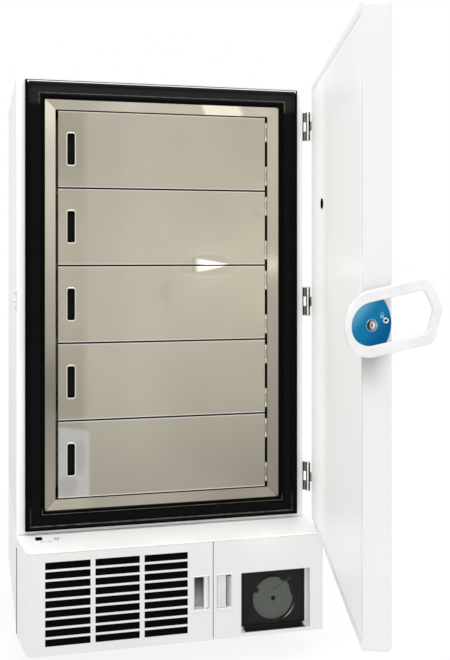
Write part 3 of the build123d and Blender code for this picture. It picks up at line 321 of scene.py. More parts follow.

# %% [markdown]
# The breaker strips are the same sheet, toned darker towards the bottom, with the right strip darker than the
# left. The lower strip is lighter at its left end, and a painted highlight lies over a short stretch of the
# upper one. The masks follow the mitres, so each tone ends at the fold.

# %% Breaker strips, toned by place, with a painted highlight
def breaker_sheet():
    finish, grain = satin_steel("breaker_steel", 0.24, 0.4)
    across, height = axes(finish, "XZ")
    past_side = maths("ABSOLUTE", across) - CHAMBER_HALF
    foot = (CHAMBER_LOW - height - past_side).between(-1 * MM, 1 * MM)
    top = (height - CHAMBER_HIGH - past_side).between(-1 * MM, 1 * MM)
    at_left = 0.27 + 0.42 * height.between(0.75, 1.9) - 0.09 * within(height, 840, 1020, 80)
    at_right = 0.19 + 0.33 * height.between(0.3, 1.9)
    right = across.between(-0.1, 0.1)
    sides = at_left * (1 - right) + at_right * right
    at_foot = 0.40 + 0.13 * (1 - across.between(-0.30, -0.22)) - 0.08 * across.between(0.0, 0.25)
    leaning = across + (height - 1.86) * 0.5
    # painted highlight over a short stretch of the upper strip
    painted_highlight = leaning.between(0.135, 0.165) * (1 - leaning.between(0.25, 0.30))
    at_top = 0.44 + 0.16 * across.between(-0.30, -0.10) + 0.8 * painted_highlight
    level = sides * (1 - foot) * (1 - top) + foot * at_foot + top * at_top
    level = level * (0.93 + 0.07 * grain)
    return finish.colour(blend(level, (0.06, 0.053, 0.042), (1.0, 0.92, 0.76)))


dress(breaker_sheet(), "breaker_frame")

# %% [markdown]
# On the chamber doors a painted highlight lies along the folded edges, with a black line of painted shade
# where two doors meet. Painted shade darkens the doors towards the bottom, and painted reflections make bands
# at their left and right. The lowest door has a pale painted reflection at its left, and one spot near the
# second seam mirrors. Doors repeat at one pitch, so a remainder finds the edges of all five at once.

# %% Chamber door steel
WORN_AT, WORN_REACH = (160 * MM, 1326 * MM), (100 * MM, 40 * MM)
REFLECTION_GAPS = (((-0.293, 0.674), (0.020, 0.062)), ((-0.335, 0.576), (0.034, 0.040)))


def from_centre(across, height, centre, reach):
    """The square of the distance from a centre, 1 on an oval with that reach."""
    x, z = (across - centre[0]) / reach[0], (height - centre[1]) / reach[1]
    return x * x + z * z


def with_painted_reflection(across, height, plain_steel):
    """A pale painted reflection round the lowest door's finger recess, thinner in two spots."""
    region = (1 - across.between(-0.270, -0.254)) * (1 - (height + 0.16 * across).between(0.712, 0.728))
    first, second = [1 - from_centre(across, height, *gap).between(0.1, 1.6) for gap in REFLECTION_GAPS]
    return blend(region * (0.75 - 0.35 * (first + second)), plain_steel, (0.50, 0.50, 0.51))


def chamber_door_sheet():
    finish, grain = satin_steel("chamber_door_steel", 0.34, 0.6, 1.0)
    across, back, height = axes(finish, "XYZ")
    along_door = maths("FLOORED_MODULO", height - DOOR_FOOT, DOOR_PITCH)
    from_middle = maths("ABSOLUTE", along_door - DOOR_TALL / 2)
    edge_highlight = from_middle.between(DOOR_TALL / 2 - 5.0 * MM, DOOR_TALL / 2 - 3.0 * MM)
    # painted shade towards the bottom, and painted reflection bands at the left and right
    rise = (0.62 + 0.38 * height.between(0.45, 1.2)) * (1 - 0.09 * height.between(1.35, 1.8))
    middle = height.between(1.0, 1.2) * (1 - height.between(1.5, 1.7))
    left = (0.14 - 0.13 * middle) * (1 - across.between(-0.295, -0.262))
    right = (0.06 - 0.10 * middle) * across.between(0.2, 0.36)
    level = rise * (1 - left - right) * (0.90 + 0.10 * grain)
    colour = with_painted_reflection(across, height, blend(level, (0, 0, 0), (0.56, 0.515, 0.41)))
    # painted highlight along the folded edges
    colour = blend(edge_highlight * 0.7, colour, (0.82, 0.80, 0.74))
    # painted shade: a black line at each door's ends, where two doors meet
    black_from = DOOR_TALL / 2 - 1.5 * MM + 0.4 * MM * back.between(RIM_FRONT, RIM_FRONT + 2 * MM)
    gap_shade = (from_middle - black_from).between(0, 0.3 * MM)
    finish.colour(blend(gap_shade, colour, grey(0.004)))
    finish.varies("Coat Weight", 1 - gap_shade)
    finish.varies("Metallic", 1 - gap_shade)
    unworn = from_centre(across, height, WORN_AT, WORN_REACH).between(0.7, 1.3)
    rough = 0.34 + 0.10 * (grain - 0.5)
    return finish.rough(rough * unworn + 0.05 * (1 - unworn))


dress(chamber_door_sheet(), *[f"inner_door_{number}" for number in range(1, 6)])

# %% [markdown]
# The hinges are chrome, and a chrome barrel squeezes all that stands round it into upright stripes, so their
# reflections are painted into the colour as dark bands. Galvanising grows in crystals, called spangle, and a
# Voronoi pattern with random greys is exactly that.

# %% The other metals
def rubbed_metal(name, tone, bright, roughness, scale=240):
    finish = Finish(name, {"Metallic": 1.0})
    scuff = noise(finish, (scale, scale, scale * 0.4), 5, 0.7)
    finish.colour(blend(scuff.between(0.5, 0.72), tone, bright))
    finish.rough(roughness + 0.16 * (1 - scuff))
    return bump(scuff, 0.03, 0.5)


def galvanised(name, tone):
    finish = Finish(name, {"Metallic": 0.9})
    cells = finish.node("ShaderNodeTexVoronoi", {}, {"Vector": place(finish), "Scale": 95}, "Color")
    level = finish.node("ShaderNodeSeparateColor", {}, [cells])
    finish.colour(blend(level, shaded(tone, 0.8), tone))
    finish.rough(0.38 + 0.2 * level)
    return bump(noise(finish, 60), 0.08, 0.3)


def hinge_chrome():
    """Chrome with painted dark reflection bands along the leaf and along the barrel, whose knuckles take
    turns.
    """
    finish = Finish("hinge_metal", {"Metallic": 1.0})
    across, height = axes(finish, "XZ")
    scuff = noise(finish, (240, 240, 60), 4, 0.7)
    knuckle = maths("SINE", height * 86).between(-0.25, 0.15)
    barrel = within(across, 521.8, 527.8, 0.4)
    colour = blend(scuff.between(0.35, 0.65), (0.62, 0.61, 0.60), (0.86, 0.86, 0.85))
    # painted reflections, in bands
    for band, tone in (
        (within(across, 507.0, 511.4, 0.3), grey(0.004)),
        (within(across, 511.8, 517.2, 0.5), (0.10, 0.09, 0.075)),
        (barrel * knuckle, grey(0.004)),
        (barrel * (1 - knuckle), (0.12, 0.11, 0.095)),
    ):
        colour = blend(band, colour, tone)
    finish.colour(colour)
    finish.rough(0.16 + 0.16 * scuff)
    return bump(scuff, 0.02, 0.4)


bright_metal = rubbed_metal("bright_metal", grey(0.70), grey(0.86), 0.10)
fin_metal = rubbed_metal("fin_metal", (0.55, 0.55, 0.56), (0.70, 0.70, 0.71), 0.30, 90)
copper = rubbed_metal("copper_tube", (0.60, 0.30, 0.18), (0.78, 0.45, 0.30), 0.26, 60)
rim_metal = rubbed_metal("rim_metal", (0.72, 0.69, 0.62), (0.86, 0.84, 0.78), 0.14, 120)
dark_metal = rubbed_metal("dark_metal", grey(0.03), grey(0.12), 0.3)
zinc_sheet = galvanised("galvanised_sheet", (0.62, 0.64, 0.65))
dress(hinge_chrome(), "cabinet_hinge_leaves", "door_hinge_leaves", "strike_plate")
dress(rim_metal, "inner_hinge_leaves")
dress(fin_metal, "condenser", "fan_motor")
dress(copper, "evaporator")
dress(zinc_sheet, "back_panel", "rear_grille", "fan_shroud", "levelling_feet", "caster_plates")
dress(zinc_sheet, *[f"caster_fork_{number}" for number in range(1, 5)])

# %% [markdown]
# Plastics and paint come from one recipe: a tone, a slight drift in it, and a moulded texture whose grain
# is as coarse as the real one. The compressors wear black stove paint.

# %% Plastics, paint and rubber
def moulded(name, tone, roughness, grain=700, grain_mm=0.03, coat=0.0, ior=1.45):
    finish = Finish(name, {"Coat Weight": coat, "Coat Roughness": 0.08, "IOR": ior})
    drift = noise(finish, 14, 3, 0.6)
    finish.colour(blend(drift.between(0.3, 0.75), shaded(tone, 0.9), tone))
    finish.rough(roughness + 0.10 * (drift - 0.5))
    return bump(noise(finish, grain, 2), grain_mm, 0.4)


handle_white = moulded("handle_white", grey(0.86), 0.30, 500, 0.02, 0.1)
paddle_grey = moulded("paddle_grey", (0.70, 0.70, 0.69), 0.42)
box_grey = moulded("box_grey", (0.36, 0.37, 0.38), 0.5, 420, 0.06)
black_plastic = moulded("black_plastic", grey(0.006), 0.5, 520, 0.05, ior=1.15)
recorder_black = moulded("recorder_black", (0.008, 0.007, 0.0065), 0.42, 300, 0.04, ior=1.15)
stove_black = moulded("stove_black", (0.02, 0.02, 0.021), 0.28, 160, 0.08, 0.4)
wheel_rubber = moulded("wheel_rubber", (0.04, 0.04, 0.042), 0.62, 350, 0.08, ior=1.3)
foam = moulded("body_foam", (0.80, 0.70, 0.42), 0.9, 180, 0.5)
dress(handle_white, "handle_ring", "latch_housing", "door_switch_plunger", "grille_latch_paddle")
dress(paddle_grey, "recorder_latch_paddle")
dress(box_grey, "control_box")
dress(black_plastic, "condenser_fan")
dress(moulded("port_black", grey(0.0015), 0.7, ior=1.05), "relief_port")
dress(recorder_black, "recorder_case")
dress(moulded("pen_grey", (0.14, 0.15, 0.14), 0.5), "recorder_pen")
dress(stove_black, "compressor_high_stage", "compressor_low_stage")
dress(wheel_rubber, *[f"caster_wheel_{number}" for number in range(1, 5)])
dress(foam, "body_insulation", "door_foam")

# %% [markdown]
# The handle's insert is a blue plate that runs from light sky blue at the cabinet's side and top to deep
# blue at the other corner. Real ones are printed as a dot screen, so fine noise breaks up the run.

# %% The blue insert
def in_door_frame(finish):
    """The place on the open outer door, turned back to where the door is shut."""
    inputs = {"Vector": place(finish), "Center": HINGE, "Angle": radians(-DOOR_DEGREES)}
    return finish.node("ShaderNodeVectorRotate", {"rotation_type": "Z_AXIS"}, inputs)


def hub_blue():
    finish = Finish("hub_blue", {"IOR": 1.12})
    outward, up = axes(finish, "YZ", in_door_frame(finish))
    dots = noise(finish, 900, 1)
    run = (LATCH.y - outward) / (60 * MM) - (up - LATCH.z) / (75 * MM) + 0.3 * (dots - 0.5)
    sky = blend(run.between(-1.1, -0.3), (0.105, 0.370, 0.560), (0.006, 0.165, 0.340))
    finish.colour(blend(run.between(-0.05, 0.75), sky, (0.001, 0.090, 0.245)))
    finish.rough(0.26 + 0.08 * dots)
    return bump(dots, 0.02, 0.2)


dress(hub_blue(), "handle_hub")

# %% [markdown]
# The recorder's window is a thin clear pane, which lets most light through by its alpha. The filter behind
# the air slots is black woven mesh, two sets of fine waves crossed.

# %% Pane and filter
def clear_pane():
    finish = Finish("recorder_pane", {"IOR": 1.2})
    haze = noise(finish, 30, 3)
    finish.colour(blend(haze, grey(0.03), grey(0.06)))
    finish.rough(0.04 + 0.05 * haze)
    return finish.varies("Alpha", 0.16 + 0.05 * haze)


def woven(name, tone, threads):
    finish = Finish(name, {"IOR": 1.05})
    weft, warp = [maths("SINE", thread * threads) for thread in axes(finish, "XZ")]
    weave = (weft * warp + 1) / 2
    finish.colour(blend(weave, shaded(tone, 0.3), tone))
    finish.rough(0.8 + 0.2 * weave)
    return bump(weave, 0.4, 0.8)


dress(clear_pane(), "recorder_window")
dress(woven("filter_mesh", (0.005, 0.0045, 0.0045), 2600), "air_filter")

# %% [markdown]
# The chart is a disc of paper printed with fine rings and curved time lines, and nothing is written on it.
# Behind its dark pane it looks grey, so the paper's own tone is set low.

# %% The printed chart
CHART_X, CHART_Z = 342 * MM, 202 * MM


def chart_paper():
    finish = Finish("chart_paper", {"IOR": 1.2})
    across, up = axis(finish, "X") - CHART_X, axis(finish, "Z") - CHART_Z
    reach = distance(across, up)
    rings = maths("SINE", reach * (2 * pi / (5 * MM))).between(0.80, 0.97)
    hours = maths("SINE", maths("ARCTAN2", up, across) * 24 + reach * 60).between(0.90, 0.99)
    printed = maths("MINIMUM", rings + hours, 1.0)
    speck = noise(finish, 420, 3, 0.8)
    paper = blend(speck.between(0.35, 0.65), (0.165, 0.185, 0.160), (0.265, 0.285, 0.250))
    finish.colour(blend(printed * 0.35, paper, (0.05, 0.06, 0.055)))
    finish.rough(0.7 + 0.1 * speck)
    return bump(speck, 0.04, 0.3)


dress(chart_paper(), "chart_disc")

# %% [markdown]
# The extra pieces are meshes made in code. Three makers cover nearly all of them: a section swept round a
# rectangle with mitred corners, an outline spun about an axis, and a small form repeated in many places.
# Each piece rides on a body.

# %% Makers of meshes
def mesh_object(name, form, finish):
    mesh = bpy.data.meshes.new(name)
    mesh.from_pydata(form[0], [], form[1])
    mesh.validate()
    mesh.materials.append(finish.material)
    made = bpy.data.objects.new(name, mesh)
    bpy.context.scene.collection.objects.link(made)
    return made


def piece(name, form, body, finish, crisp=35):
    """A piece on a body. Edges of more than crisp degrees stay sharp, and 0 leaves it flat."""
    made = mesh_object(name, form, finish)
    if crisp:
        made.data.shade_smooth()
        made.data.set_sharp_from_angle(angle=radians(crisp))
    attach(made, body)
    return made


def swept_frame(section, half_width, low, high, side, end):
    """Points and faces of a section of (outward from 0 to 1, depth) swept round a mitred rectangle.

    Side and end say how many metres 1 outward is at the sides and at the top and bottom."""
    points, faces = [], []
    for across, up in ((-1, -1), (1, -1), (1, 1), (-1, 1)):
        for out, depth in section:
            height = high + out * end if up > 0 else low - out * end
            points.append((across * (half_width + out * side), depth, height))
    count = len(section)
    for corner in range(4):
        here, there = corner * count, (corner + 1) % 4 * count
        for step in range(count):
            ahead = (step + 1) % count
            faces.append((here + step, there + step, there + ahead, here + ahead))
    return points, faces


def joined(rings, first_cap=False, last_cap=False):
    """Points and faces of a skin over rings that all have the same count of points."""
    points = [point for ring in rings for point in ring]
    count = len(rings[0])
    faces = []
    for low in range(0, len(points) - count, count):
        for step in range(count):
            ahead = (step + 1) % count
            faces.append((low + step, low + ahead, low + count + ahead, low + count + step))
    if first_cap:
        faces.append(tuple(range(count - 1, -1, -1)))
    if last_cap:
        faces.append(tuple(range(len(points) - count, len(points))))
    return points, faces


def turned(outline, at, along, steps=32, capped=True):
    """An outline of (radius, length) in millimetres, spun about an axis through a place."""
    turn = Vector(along).to_track_quat("Z", "Y").to_matrix()
    angles = [2 * pi * step / steps for step in range(steps)]
    rings = [
        [Vector(at) + turn @ Vector((out * cos(angle), out * sin(angle), length)) * MM for angle in angles]
        for out, length in outline
    ]
    return joined(rings, capped, capped)


def ring(outline, at, along, steps=32):
    """A turned form whose outline closes on itself."""
    return turned(outline + outline[:1], at, along, steps, False)


def merged(forms):
    """One set of points and faces from several."""
    points, faces = [], []
    for some_points, some_faces in forms:
        start = len(points)
        points += some_points
        faces += [tuple(start + index for index in face) for face in some_faces]
    return points, faces


def on_open_door(form):
    """A form drawn on the shut outer door, turned open with it."""
    points, faces = form
    return [DOOR_OPEN @ Vector(point) for point in points], faces


print("makers are ready")

# %% [markdown]
# The door's gasket is soft black rubber. What gives it away in the picture is the thin light line along each
# rounded edge, which is a painted highlight that dust breaks up, and its top side is painted a little
# lighter. It is shown in place of the stepped solid, which stays in the simulation.

# %% The gasket
GASKET_GAP, GASKET_GAP_END = 36.5 * MM, 31.5 * MM
SIDE_OUT, END_OUT = 66 * MM, 62 * MM
THIN = 0.6


def gasket_rubber():
    finish = Finish("gasket_rubber", {"IOR": 1.11})
    dust_and_sheen = noise(finish, 40, 4, 0.65)
    across, height = axes(finish, "XZ")
    middle = (CHAMBER_LOW + CHAMBER_HIGH) / 2
    beside = maths("ABSOLUTE", across) - (CHAMBER_HALF + GASKET_GAP)
    above = maths("ABSOLUTE", height - middle) - (middle - CHAMBER_LOW + GASKET_GAP_END)
    out = maths("MAXIMUM", beside, above)
    over, under = height.between(1.86, 1.88), 1 - height.between(0.50, 0.52)
    greyed = within(out, 15, 55, 1.5)
    # painted highlights along the beads' rounded edges, broken up by dust
    inner_bead_highlight = within(out, 19, 21.2, THIN) * over + within(out, 8, 10, THIN) * under
    outer_bead_highlight = within(out, 46.5, 49, THIN) * under
    bead_highlight = (inner_bead_highlight + 0.8 * outer_bead_highlight) * (0.35 + 0.65 * dust_and_sheen.between(0.3, 0.6))
    # painted highlight along the outer edge at the top
    top_edge_highlight = within(out, 55.8, 58.6, THIN) * height.between(1936 * MM, 1938 * MM)
    colour = blend(greyed * (0.35 + 0.65 * dust_and_sheen), (0.0008, 0.0008, 0.0010), (0.0055, 0.0050, 0.0052))
    # painted light: the top side is a little lighter
    colour = blend(greyed * over * 0.5, colour, (0.030, 0.028, 0.029))
    colour = blend(bead_highlight, colour, (0.12, 0.112, 0.095))
    finish.colour(blend(top_edge_highlight, colour, (0.80, 0.80, 0.785)))
    finish.rough(0.36 + 0.14 * dust_and_sheen)
    return bump(noise(finish, 900, 2), 0.03, 0.4)


rubber = gasket_rubber()
gasket_section = [
    (0.000, 0.0), (0.000, 11.0), (0.014, 13.4), (0.050, 14.8), (0.150, 15.0), (0.190, 13.9), (0.210, 11.4),
    (0.240, 10.2), (0.270, 10.6), (0.330, 11.8), (0.500, 12.6), (0.660, 11.8), (0.715, 10.6), (0.745, 10.2),
    (0.765, 12.0), (0.775, 16.2), (0.800, 18.6), (0.845, 19.4), (0.935, 19.4), (0.975, 18.2), (1.000, 15.0),
    (1.000, 0.0),
]
section = [(out, FRONT - depth * MM) for out, depth in gasket_section]
low, high = CHAMBER_LOW - GASKET_GAP_END, CHAMBER_HIGH + GASKET_GAP_END
form = swept_frame(section, CHAMBER_HALF + GASKET_GAP, low, high, SIDE_OUT, END_OUT)
gasket = piece("door_gasket", form, "cabinet", rubber, 50)
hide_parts("body_gasket")
dress(rubber, "body_gasket")
print("gasket section has", len(section), "points")

# %% [markdown]
# The outer door's inner face is a glossy white moulding with a small groove and bead round its edge, then a
# very slight dish, so that its reflections bend.

# %% The outer door's liner
LINER_HALF, LINER_LOW, LINER_HIGH = 487.5 * MM, 448.5 * MM, 1942 * MM
RIM_WIDE, DISH = 24 * MM, 1.6 * MM


def gloss_white():
    finish = Finish("liner_gloss", {"IOR": 1.2})
    drift = noise(finish, 1.1, 2)
    out, height = axes(finish, "YZ")
    # painted shade: the top corner at the free end is darker
    top_corner_shade = height.between(1.72, 1.86) * (1 - out.between(-1.1, -0.8))
    groove = within(height, 1938.5, 1941.5) + within(height, 449.5, 452.0)
    colour = blend(drift.between(0.3, 0.7), (0.90, 0.905, 0.90), grey(0.93))
    # painted shade: darker towards the free end, away from the hinge
    colour = blend((1 - out.between(-1.0, -0.55)) * 0.5, colour, (0.84, 0.845, 0.845))
    colour = blend(top_corner_shade * 0.75, colour, (0.80, 0.805, 0.805))
    finish.colour(blend(groove, colour, (0.56, 0.57, 0.57)))
    finish.rough(0.34 + 0.08 * noise(finish, (4, 4, 7), 3))
    return bump(noise(finish, (3.0, 3.0, 2.4), 1), 0.8, 0.35)


def liner_rim():
    """The groove and bead. Faces that would close the section behind the dished middle are left out."""
    outline = [
        (0.0, -3.0), (0.3, -0.6), (0.9, 0.1), (2.4, 0.35), (6.0, 0.35), (7.4, -0.2), (8.6, -1.1),
        (10.5, -1.3), (12.4, -1.0), (14.0, -0.2), (16.5, 0.1), (24.0, 0.1),
    ]
    inward = [(-out * MM, DOOR_INNER + height * MM) for out, height in outline]
    points, faces = swept_frame(inward, LINER_HALF, LINER_LOW, LINER_HIGH, 1.0, 1.0)
    return points, [face for face in faces if abs(face[3] - face[0]) == 1]


def liner_field(columns=24, rows=36):
    """The dished middle of the liner, on a grid, with its outer edge on the rim's last line."""
    points, faces = [], []
    half = LINER_HALF - RIM_WIDE
    low, high = LINER_LOW + RIM_WIDE, LINER_HIGH - RIM_WIDE
    for row in range(rows + 1):
        for column in range(columns + 1):
            across, up = 2 * column / columns - 1, 2 * row / rows - 1
            dish = DISH * ((1 - across**8) * (1 - up**8)) ** 0.5
            points.append((across * half, DOOR_INNER + 0.1 * MM - dish, low + (up + 1) / 2 * (high - low)))
    for row in range(rows):
        for column in range(columns):
            first = row * (columns + 1) + column
            faces.append((first, first + 1, first + columns + 2, first + columns + 1))
    return points, faces


liner_white = gloss_white()
form = on_open_door(merged([liner_rim(), liner_field()]))
liner = piece("door_liner_moulding", form, "outer_door", liner_white, 40)
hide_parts("door_liner")
dress(liner_white, "door_liner")
print("liner field dishes by", round(DISH / MM, 1), "mm")

# %% [markdown]
# Each chamber door is opened by a finger recess: a black plastic cup pressed into the sheet, and a bright
# rim that covers the cut edge. Both are a rounded slot drawn at a few widths and depths.

# %% Finger cups and their rims
SLOT_X = -324.5 * MM
CUP_RINGS = ((24.9, 0.3), (24.2, 0.0), (23.8, 2.0), (23.6, 13.0), (21.0, 15.9))
RIM_CROWN = ((35.0, 1.4), (34.4, 0.2), (32.6, -0.9), (29.6, -1.3), (26.4, -0.9), (25.2, 0.0), (25.0, 0.9))


def slot_outline(width, corner, depth, middle, steps=6):
    """A rounded slot's outline at one depth, 82 mm taller than wide, from sizes in millimetres."""
    points = []
    for across, up, start in ((1, 1, 0), (-1, 1, 90), (-1, -1, 180), (1, -1, 270)):
        for step in range(steps + 1):
            angle = radians(start + 90 * step / steps)
            x = across * (width / 2 - corner) + corner * cos(angle)
            z = up * ((width + 82) / 2 - corner) + corner * sin(angle)
            points.append((SLOT_X + x * MM, RIM_FRONT + depth * MM, middle + z * MM))
    return points


for number, middle in enumerate(CHAMBER_DOOR_MIDDLES, start=1):
    body = f"chamber_door_{number}"
    cup = [slot_outline(wide, 5.5, depth, middle) for wide, depth in CUP_RINGS]
    rim = [slot_outline(wide, (wide - 13) / 2, depth, middle) for wide, depth in RIM_CROWN]
    piece(f"finger_cup_{number}", joined(cup, last_cap=True), body, black_plastic)
    piece(f"finger_rim_{number}", joined(rim), body, rim_metal, 60)
print("five finger cups with rims")

# %% [markdown]
# Round the back of each chamber door runs a soft black seal, a low dome that closes against the shelf and
# the chamber's walls. It makes the gaps between the doors look dark.

# %% Seals behind the chamber doors
DOOR_HALF, DOOR_BACK = 368 * MM, FRONT + 32 * MM
SEAL_WIDTH, SEAL_REACH = 14 * MM, 1.85 * MM
seal_section = [(0.0, -0.2), (0.02, 2.6), (0.2, 4.2), (0.5, 4.8), (0.8, 4.2), (0.98, 2.6), (1.0, -0.2)]
section = [(out, DOOR_BACK + depth * MM) for out, depth in seal_section]
half = DOOR_TALL / 2 + SEAL_REACH - SEAL_WIDTH
for number, middle in enumerate(CHAMBER_DOOR_MIDDLES, start=1):
    form = swept_frame(section, DOOR_HALF - SEAL_WIDTH, middle - half, middle + half, SEAL_WIDTH, SEAL_WIDTH)
    piece(f"chamber_door_seal_{number}", form, f"chamber_door_{number}", rubber, 50)
print("five seals behind the chamber doors")

# %% [markdown]
# Screws are small, but a cabinet without them looks like a toy. One domed head with a cross cut in it is
# repeated on the hinge leaves, on the strike, round the back panel and on the rear grille.

# %% Screw heads
HEAD = ((1, 0), (1, 0.12), (0.86, 0.30), (0.55, 0.42), (0.30, 0.44), (0.04, 0.44))
HINGE_HEIGHTS = (0.569, 1.195, 1.821)
LEAF_FACE, BACK_FACE = HALF_WIDTH + 3 * MM, -FRONT


def screw_head(at, facing, size=4.0):
    """A domed head with a cross recess, facing away from the sheet. Its radius is in millimetres."""
    points, faces = turned([(out * size, up * size) for out, up in HEAD], (0, 0, 0), (0, 0, 1), 24)
    r = size * MM
    for index, point in enumerate(points):
        along_x = abs(point.y) < 0.14 * r and abs(point.x) < 0.6 * r
        along_y = abs(point.x) < 0.14 * r and abs(point.y) < 0.6 * r
        if point.z > 0.3 * r and (along_x or along_y):
            points[index] = Vector((point.x, point.y, 0.12 * r))
    turn = Vector(facing).to_track_quat("Z", "Y").to_matrix()
    return [Vector(at) + turn @ point for point in points], faces


def leaf_heads(start, away):
    """Four heads on each hinge's leaf, which runs from start to the back or to the front."""
    return merged([
        screw_head((LEAF_FACE, start + away * depth * MM, height + rise * MM), (1, 0, 0))
        for height in HINGE_HEIGHTS for depth in (14, 32) for rise in (-34, 34)
    ])


STRIKE_FACE, STRIKE_MIDDLE = -HALF_WIDTH - 2 * MM, -364.8 * MM
strike_heads = [screw_head((STRIKE_FACE, STRIKE_MIDDLE, z * MM), (-1, 0, 0), 3) for z in (1182, 1234)]
back_places = [(side * 497, 460 + 185 * step) for side in (-1, 1) for step in range(9)]
back_places += [(x, height) for height in (437, 1950, 412, 108) for x in (-360, -120, 120, 360)]
back_heads = [screw_head((x * MM, BACK_FACE, height * MM), (0, 1, 0), 3.5) for x, height in back_places]
piece("hinge_screws", leaf_heads(FRONT, 1), "cabinet", bright_metal)
piece("strike_screws", merged(strike_heads), "cabinet", dark_metal)
door_heads = on_open_door(leaf_heads(DOOR_INNER, -1))
piece("door_hinge_screws", door_heads, "outer_door", bright_metal)
piece("back_screws", merged(back_heads), "cabinet", bright_metal)
print("screws on the hinges and the strike, and", len(back_heads), "on the back")

# %% [markdown]
# The three outer hinges turn on pins with small domed caps. They are turned forms on the hinge's own axis,
# so they look right however far the door is open.

# %% Hinge pin caps
PIN_CAP = [(7.2, 0), (7.2, 1.2), (6.4, 2.3), (4.4, 3.2), (2.0, 3.6), (0.2, 3.7)]
caps = [
    turned(PIN_CAP, (HINGE.x, HINGE.y, height + up * 49.8 * MM), (0, 0, up))
    for height in HINGE_HEIGHTS for up in (-1, 1)
]
piece("hinge_pin_caps", merged(caps), "cabinet", bright_metal)
print(len(caps), "hinge pin caps")

# %% [markdown]
# On the blue insert sit a bezel round the key lock, a dark screw in a bright washer, and a small raised
# lock mark. They are built on the shut door, where the insert faces straight to the left, and opened with
# it.

# %% Bezel, screw and mark on the insert
SCREW = (31.8, 11.0)
MARK = (23.2, 21.0)
AWAY = (-1, 0, 0)


def on_insert(out_mm, up_mm, depth_mm=0):
    """A place on the insert: outward from the pivot, up from it and away from the door."""
    return Vector((LATCH.x - depth_mm * MM, LATCH.y - out_mm * MM, LATCH.z + up_mm * MM))


def stretched(form, share):
    """A ring about the pivot made taller than it is wide."""
    points, faces = form
    return [Vector((p.x, p.y, LATCH.z + (p.z - LATCH.z) * share)) for p in points], faces


def insert_block(out, up, depth):
    """A flat block, from its spans outward, up and away."""
    corners = [(out[0], up[0]), (out[1], up[0]), (out[1], up[1]), (out[0], up[1])]
    points = [on_insert(*corner, away) for away in depth for corner in corners]
    sides = [(n, (n + 1) % 4, (n + 1) % 4 + 4, n + 4) for n in range(4)]
    return points, [(0, 1, 2, 3), (7, 6, 5, 4)] + sides


def lock_mark():
    """A tiny padlock sign: a body under a bow."""
    bow_outline = [(2.6, 16.0), (3.9, 16.0), (3.9, 16.5), (2.6, 16.5)]
    bow = ring(bow_outline, on_insert(MARK[0], MARK[1] + 5.5), AWAY, 24)
    out, up = (MARK[0] - 4.2, MARK[0] + 4.2), (MARK[1] - 4.6, MARK[1] + 3.4)
    return merged([bow, insert_block(out, up, (16.0, 16.6))])


pivot, screw_at = on_insert(0, 0), on_insert(*SCREW)
bezel_outline = [(11.3, 15.8), (12.6, 15.8), (12.5, 16.9), (11.9, 17.3), (11.3, 16.4)]
bezel = stretched(ring(bezel_outline, pivot, AWAY, 40), 1.16)
well = stretched(ring([(10.4, 15.8), (11.6, 15.8), (11.6, 16.1), (10.4, 16.1)], pivot, AWAY, 40), 1.14)
washer_outline = [(3.2, 15.8), (6.6, 15.8), (6.6, 16.8), (6.0, 17.4), (4.2, 17.2), (3.2, 16.2)]
washer = ring(washer_outline, screw_at, AWAY, 40)
screw = turned([(3.4, 15.8), (3.4, 16.3), (2.4, 16.5), (1.0, 16.2), (0.1, 16.1)], screw_at, AWAY, 40)
bright, dark = on_open_door(merged([bezel, washer])), on_open_door(merged([well, screw]))
pale_blue = moulded("mark_blue", (0.15, 0.42, 0.60), 0.35, 500, 0.02)
piece("insert_bezel_and_washer", bright, "handle", bright_metal)
piece("insert_screw_and_well", dark, "handle", dark_metal)
piece("lock_mark", on_open_door(lock_mark()), "handle", pale_blue, 0)
print("bezel, screw and lock mark on the insert")

# %% [markdown]
# The lock's own face turns with the key, so it rides on the key's body: a dark groove round a bright plug,
# and the key's slot, a thin dark bar that reads as a cut at this size.

# %% The lock's face
LOCK_FACE = 17.0


def lock_chrome():
    """Chrome with a painted reflection: dark on the side towards the cabinet, where it mirrors the black
    gasket.
    """
    finish = Finish("lock_chrome", {"Metallic": 1.0})
    outward = axes(finish, "Y", in_door_frame(finish))[0]
    run = (LATCH.y - outward) / (11 * MM)
    scuff = noise(finish, 300, 3, 0.7)
    # painted reflection: dark towards the cabinet, bright away from it
    bright = (run + 1.6 * (scuff - 0.5)).between(-0.75, 0.15)
    finish.colour(blend(bright, grey(0.02), grey(0.78)))
    finish.rough(0.15 + 0.15 * scuff)
    return bump(scuff, 0.02, 0.3)


lock_metal = lock_chrome()
dress(lock_metal, "key_lock")
groove_outline = [(7.6, LOCK_FACE), (10.6, LOCK_FACE), (10.6, LOCK_FACE + 0.3), (7.6, LOCK_FACE + 0.3)]
groove = ring(groove_outline, pivot, AWAY, 40)
plug = turned([(7.4, LOCK_FACE), (7.4, 17.4), (6.6, 17.9), (4.0, 17.5), (0.1, 17.4)], pivot, AWAY, 40)
key_slot = insert_block((-1.4, 1.4), (-6.5, 6.5), (LOCK_FACE, LOCK_FACE + 0.55))
piece("lock_plug", on_open_door(plug), "lock", lock_metal)
piece("lock_groove_and_slot", on_open_door(merged([groove, key_slot])), "lock", dark_metal)
print("lock face on the lock")

# %% [markdown]
# Inside the recorder a ring of glossy plastic surrounds the chart, and the small bright arc in the picture is
# painted on it as a highlight. Three clips hold the paper at its rim, and a low hub holds its middle.

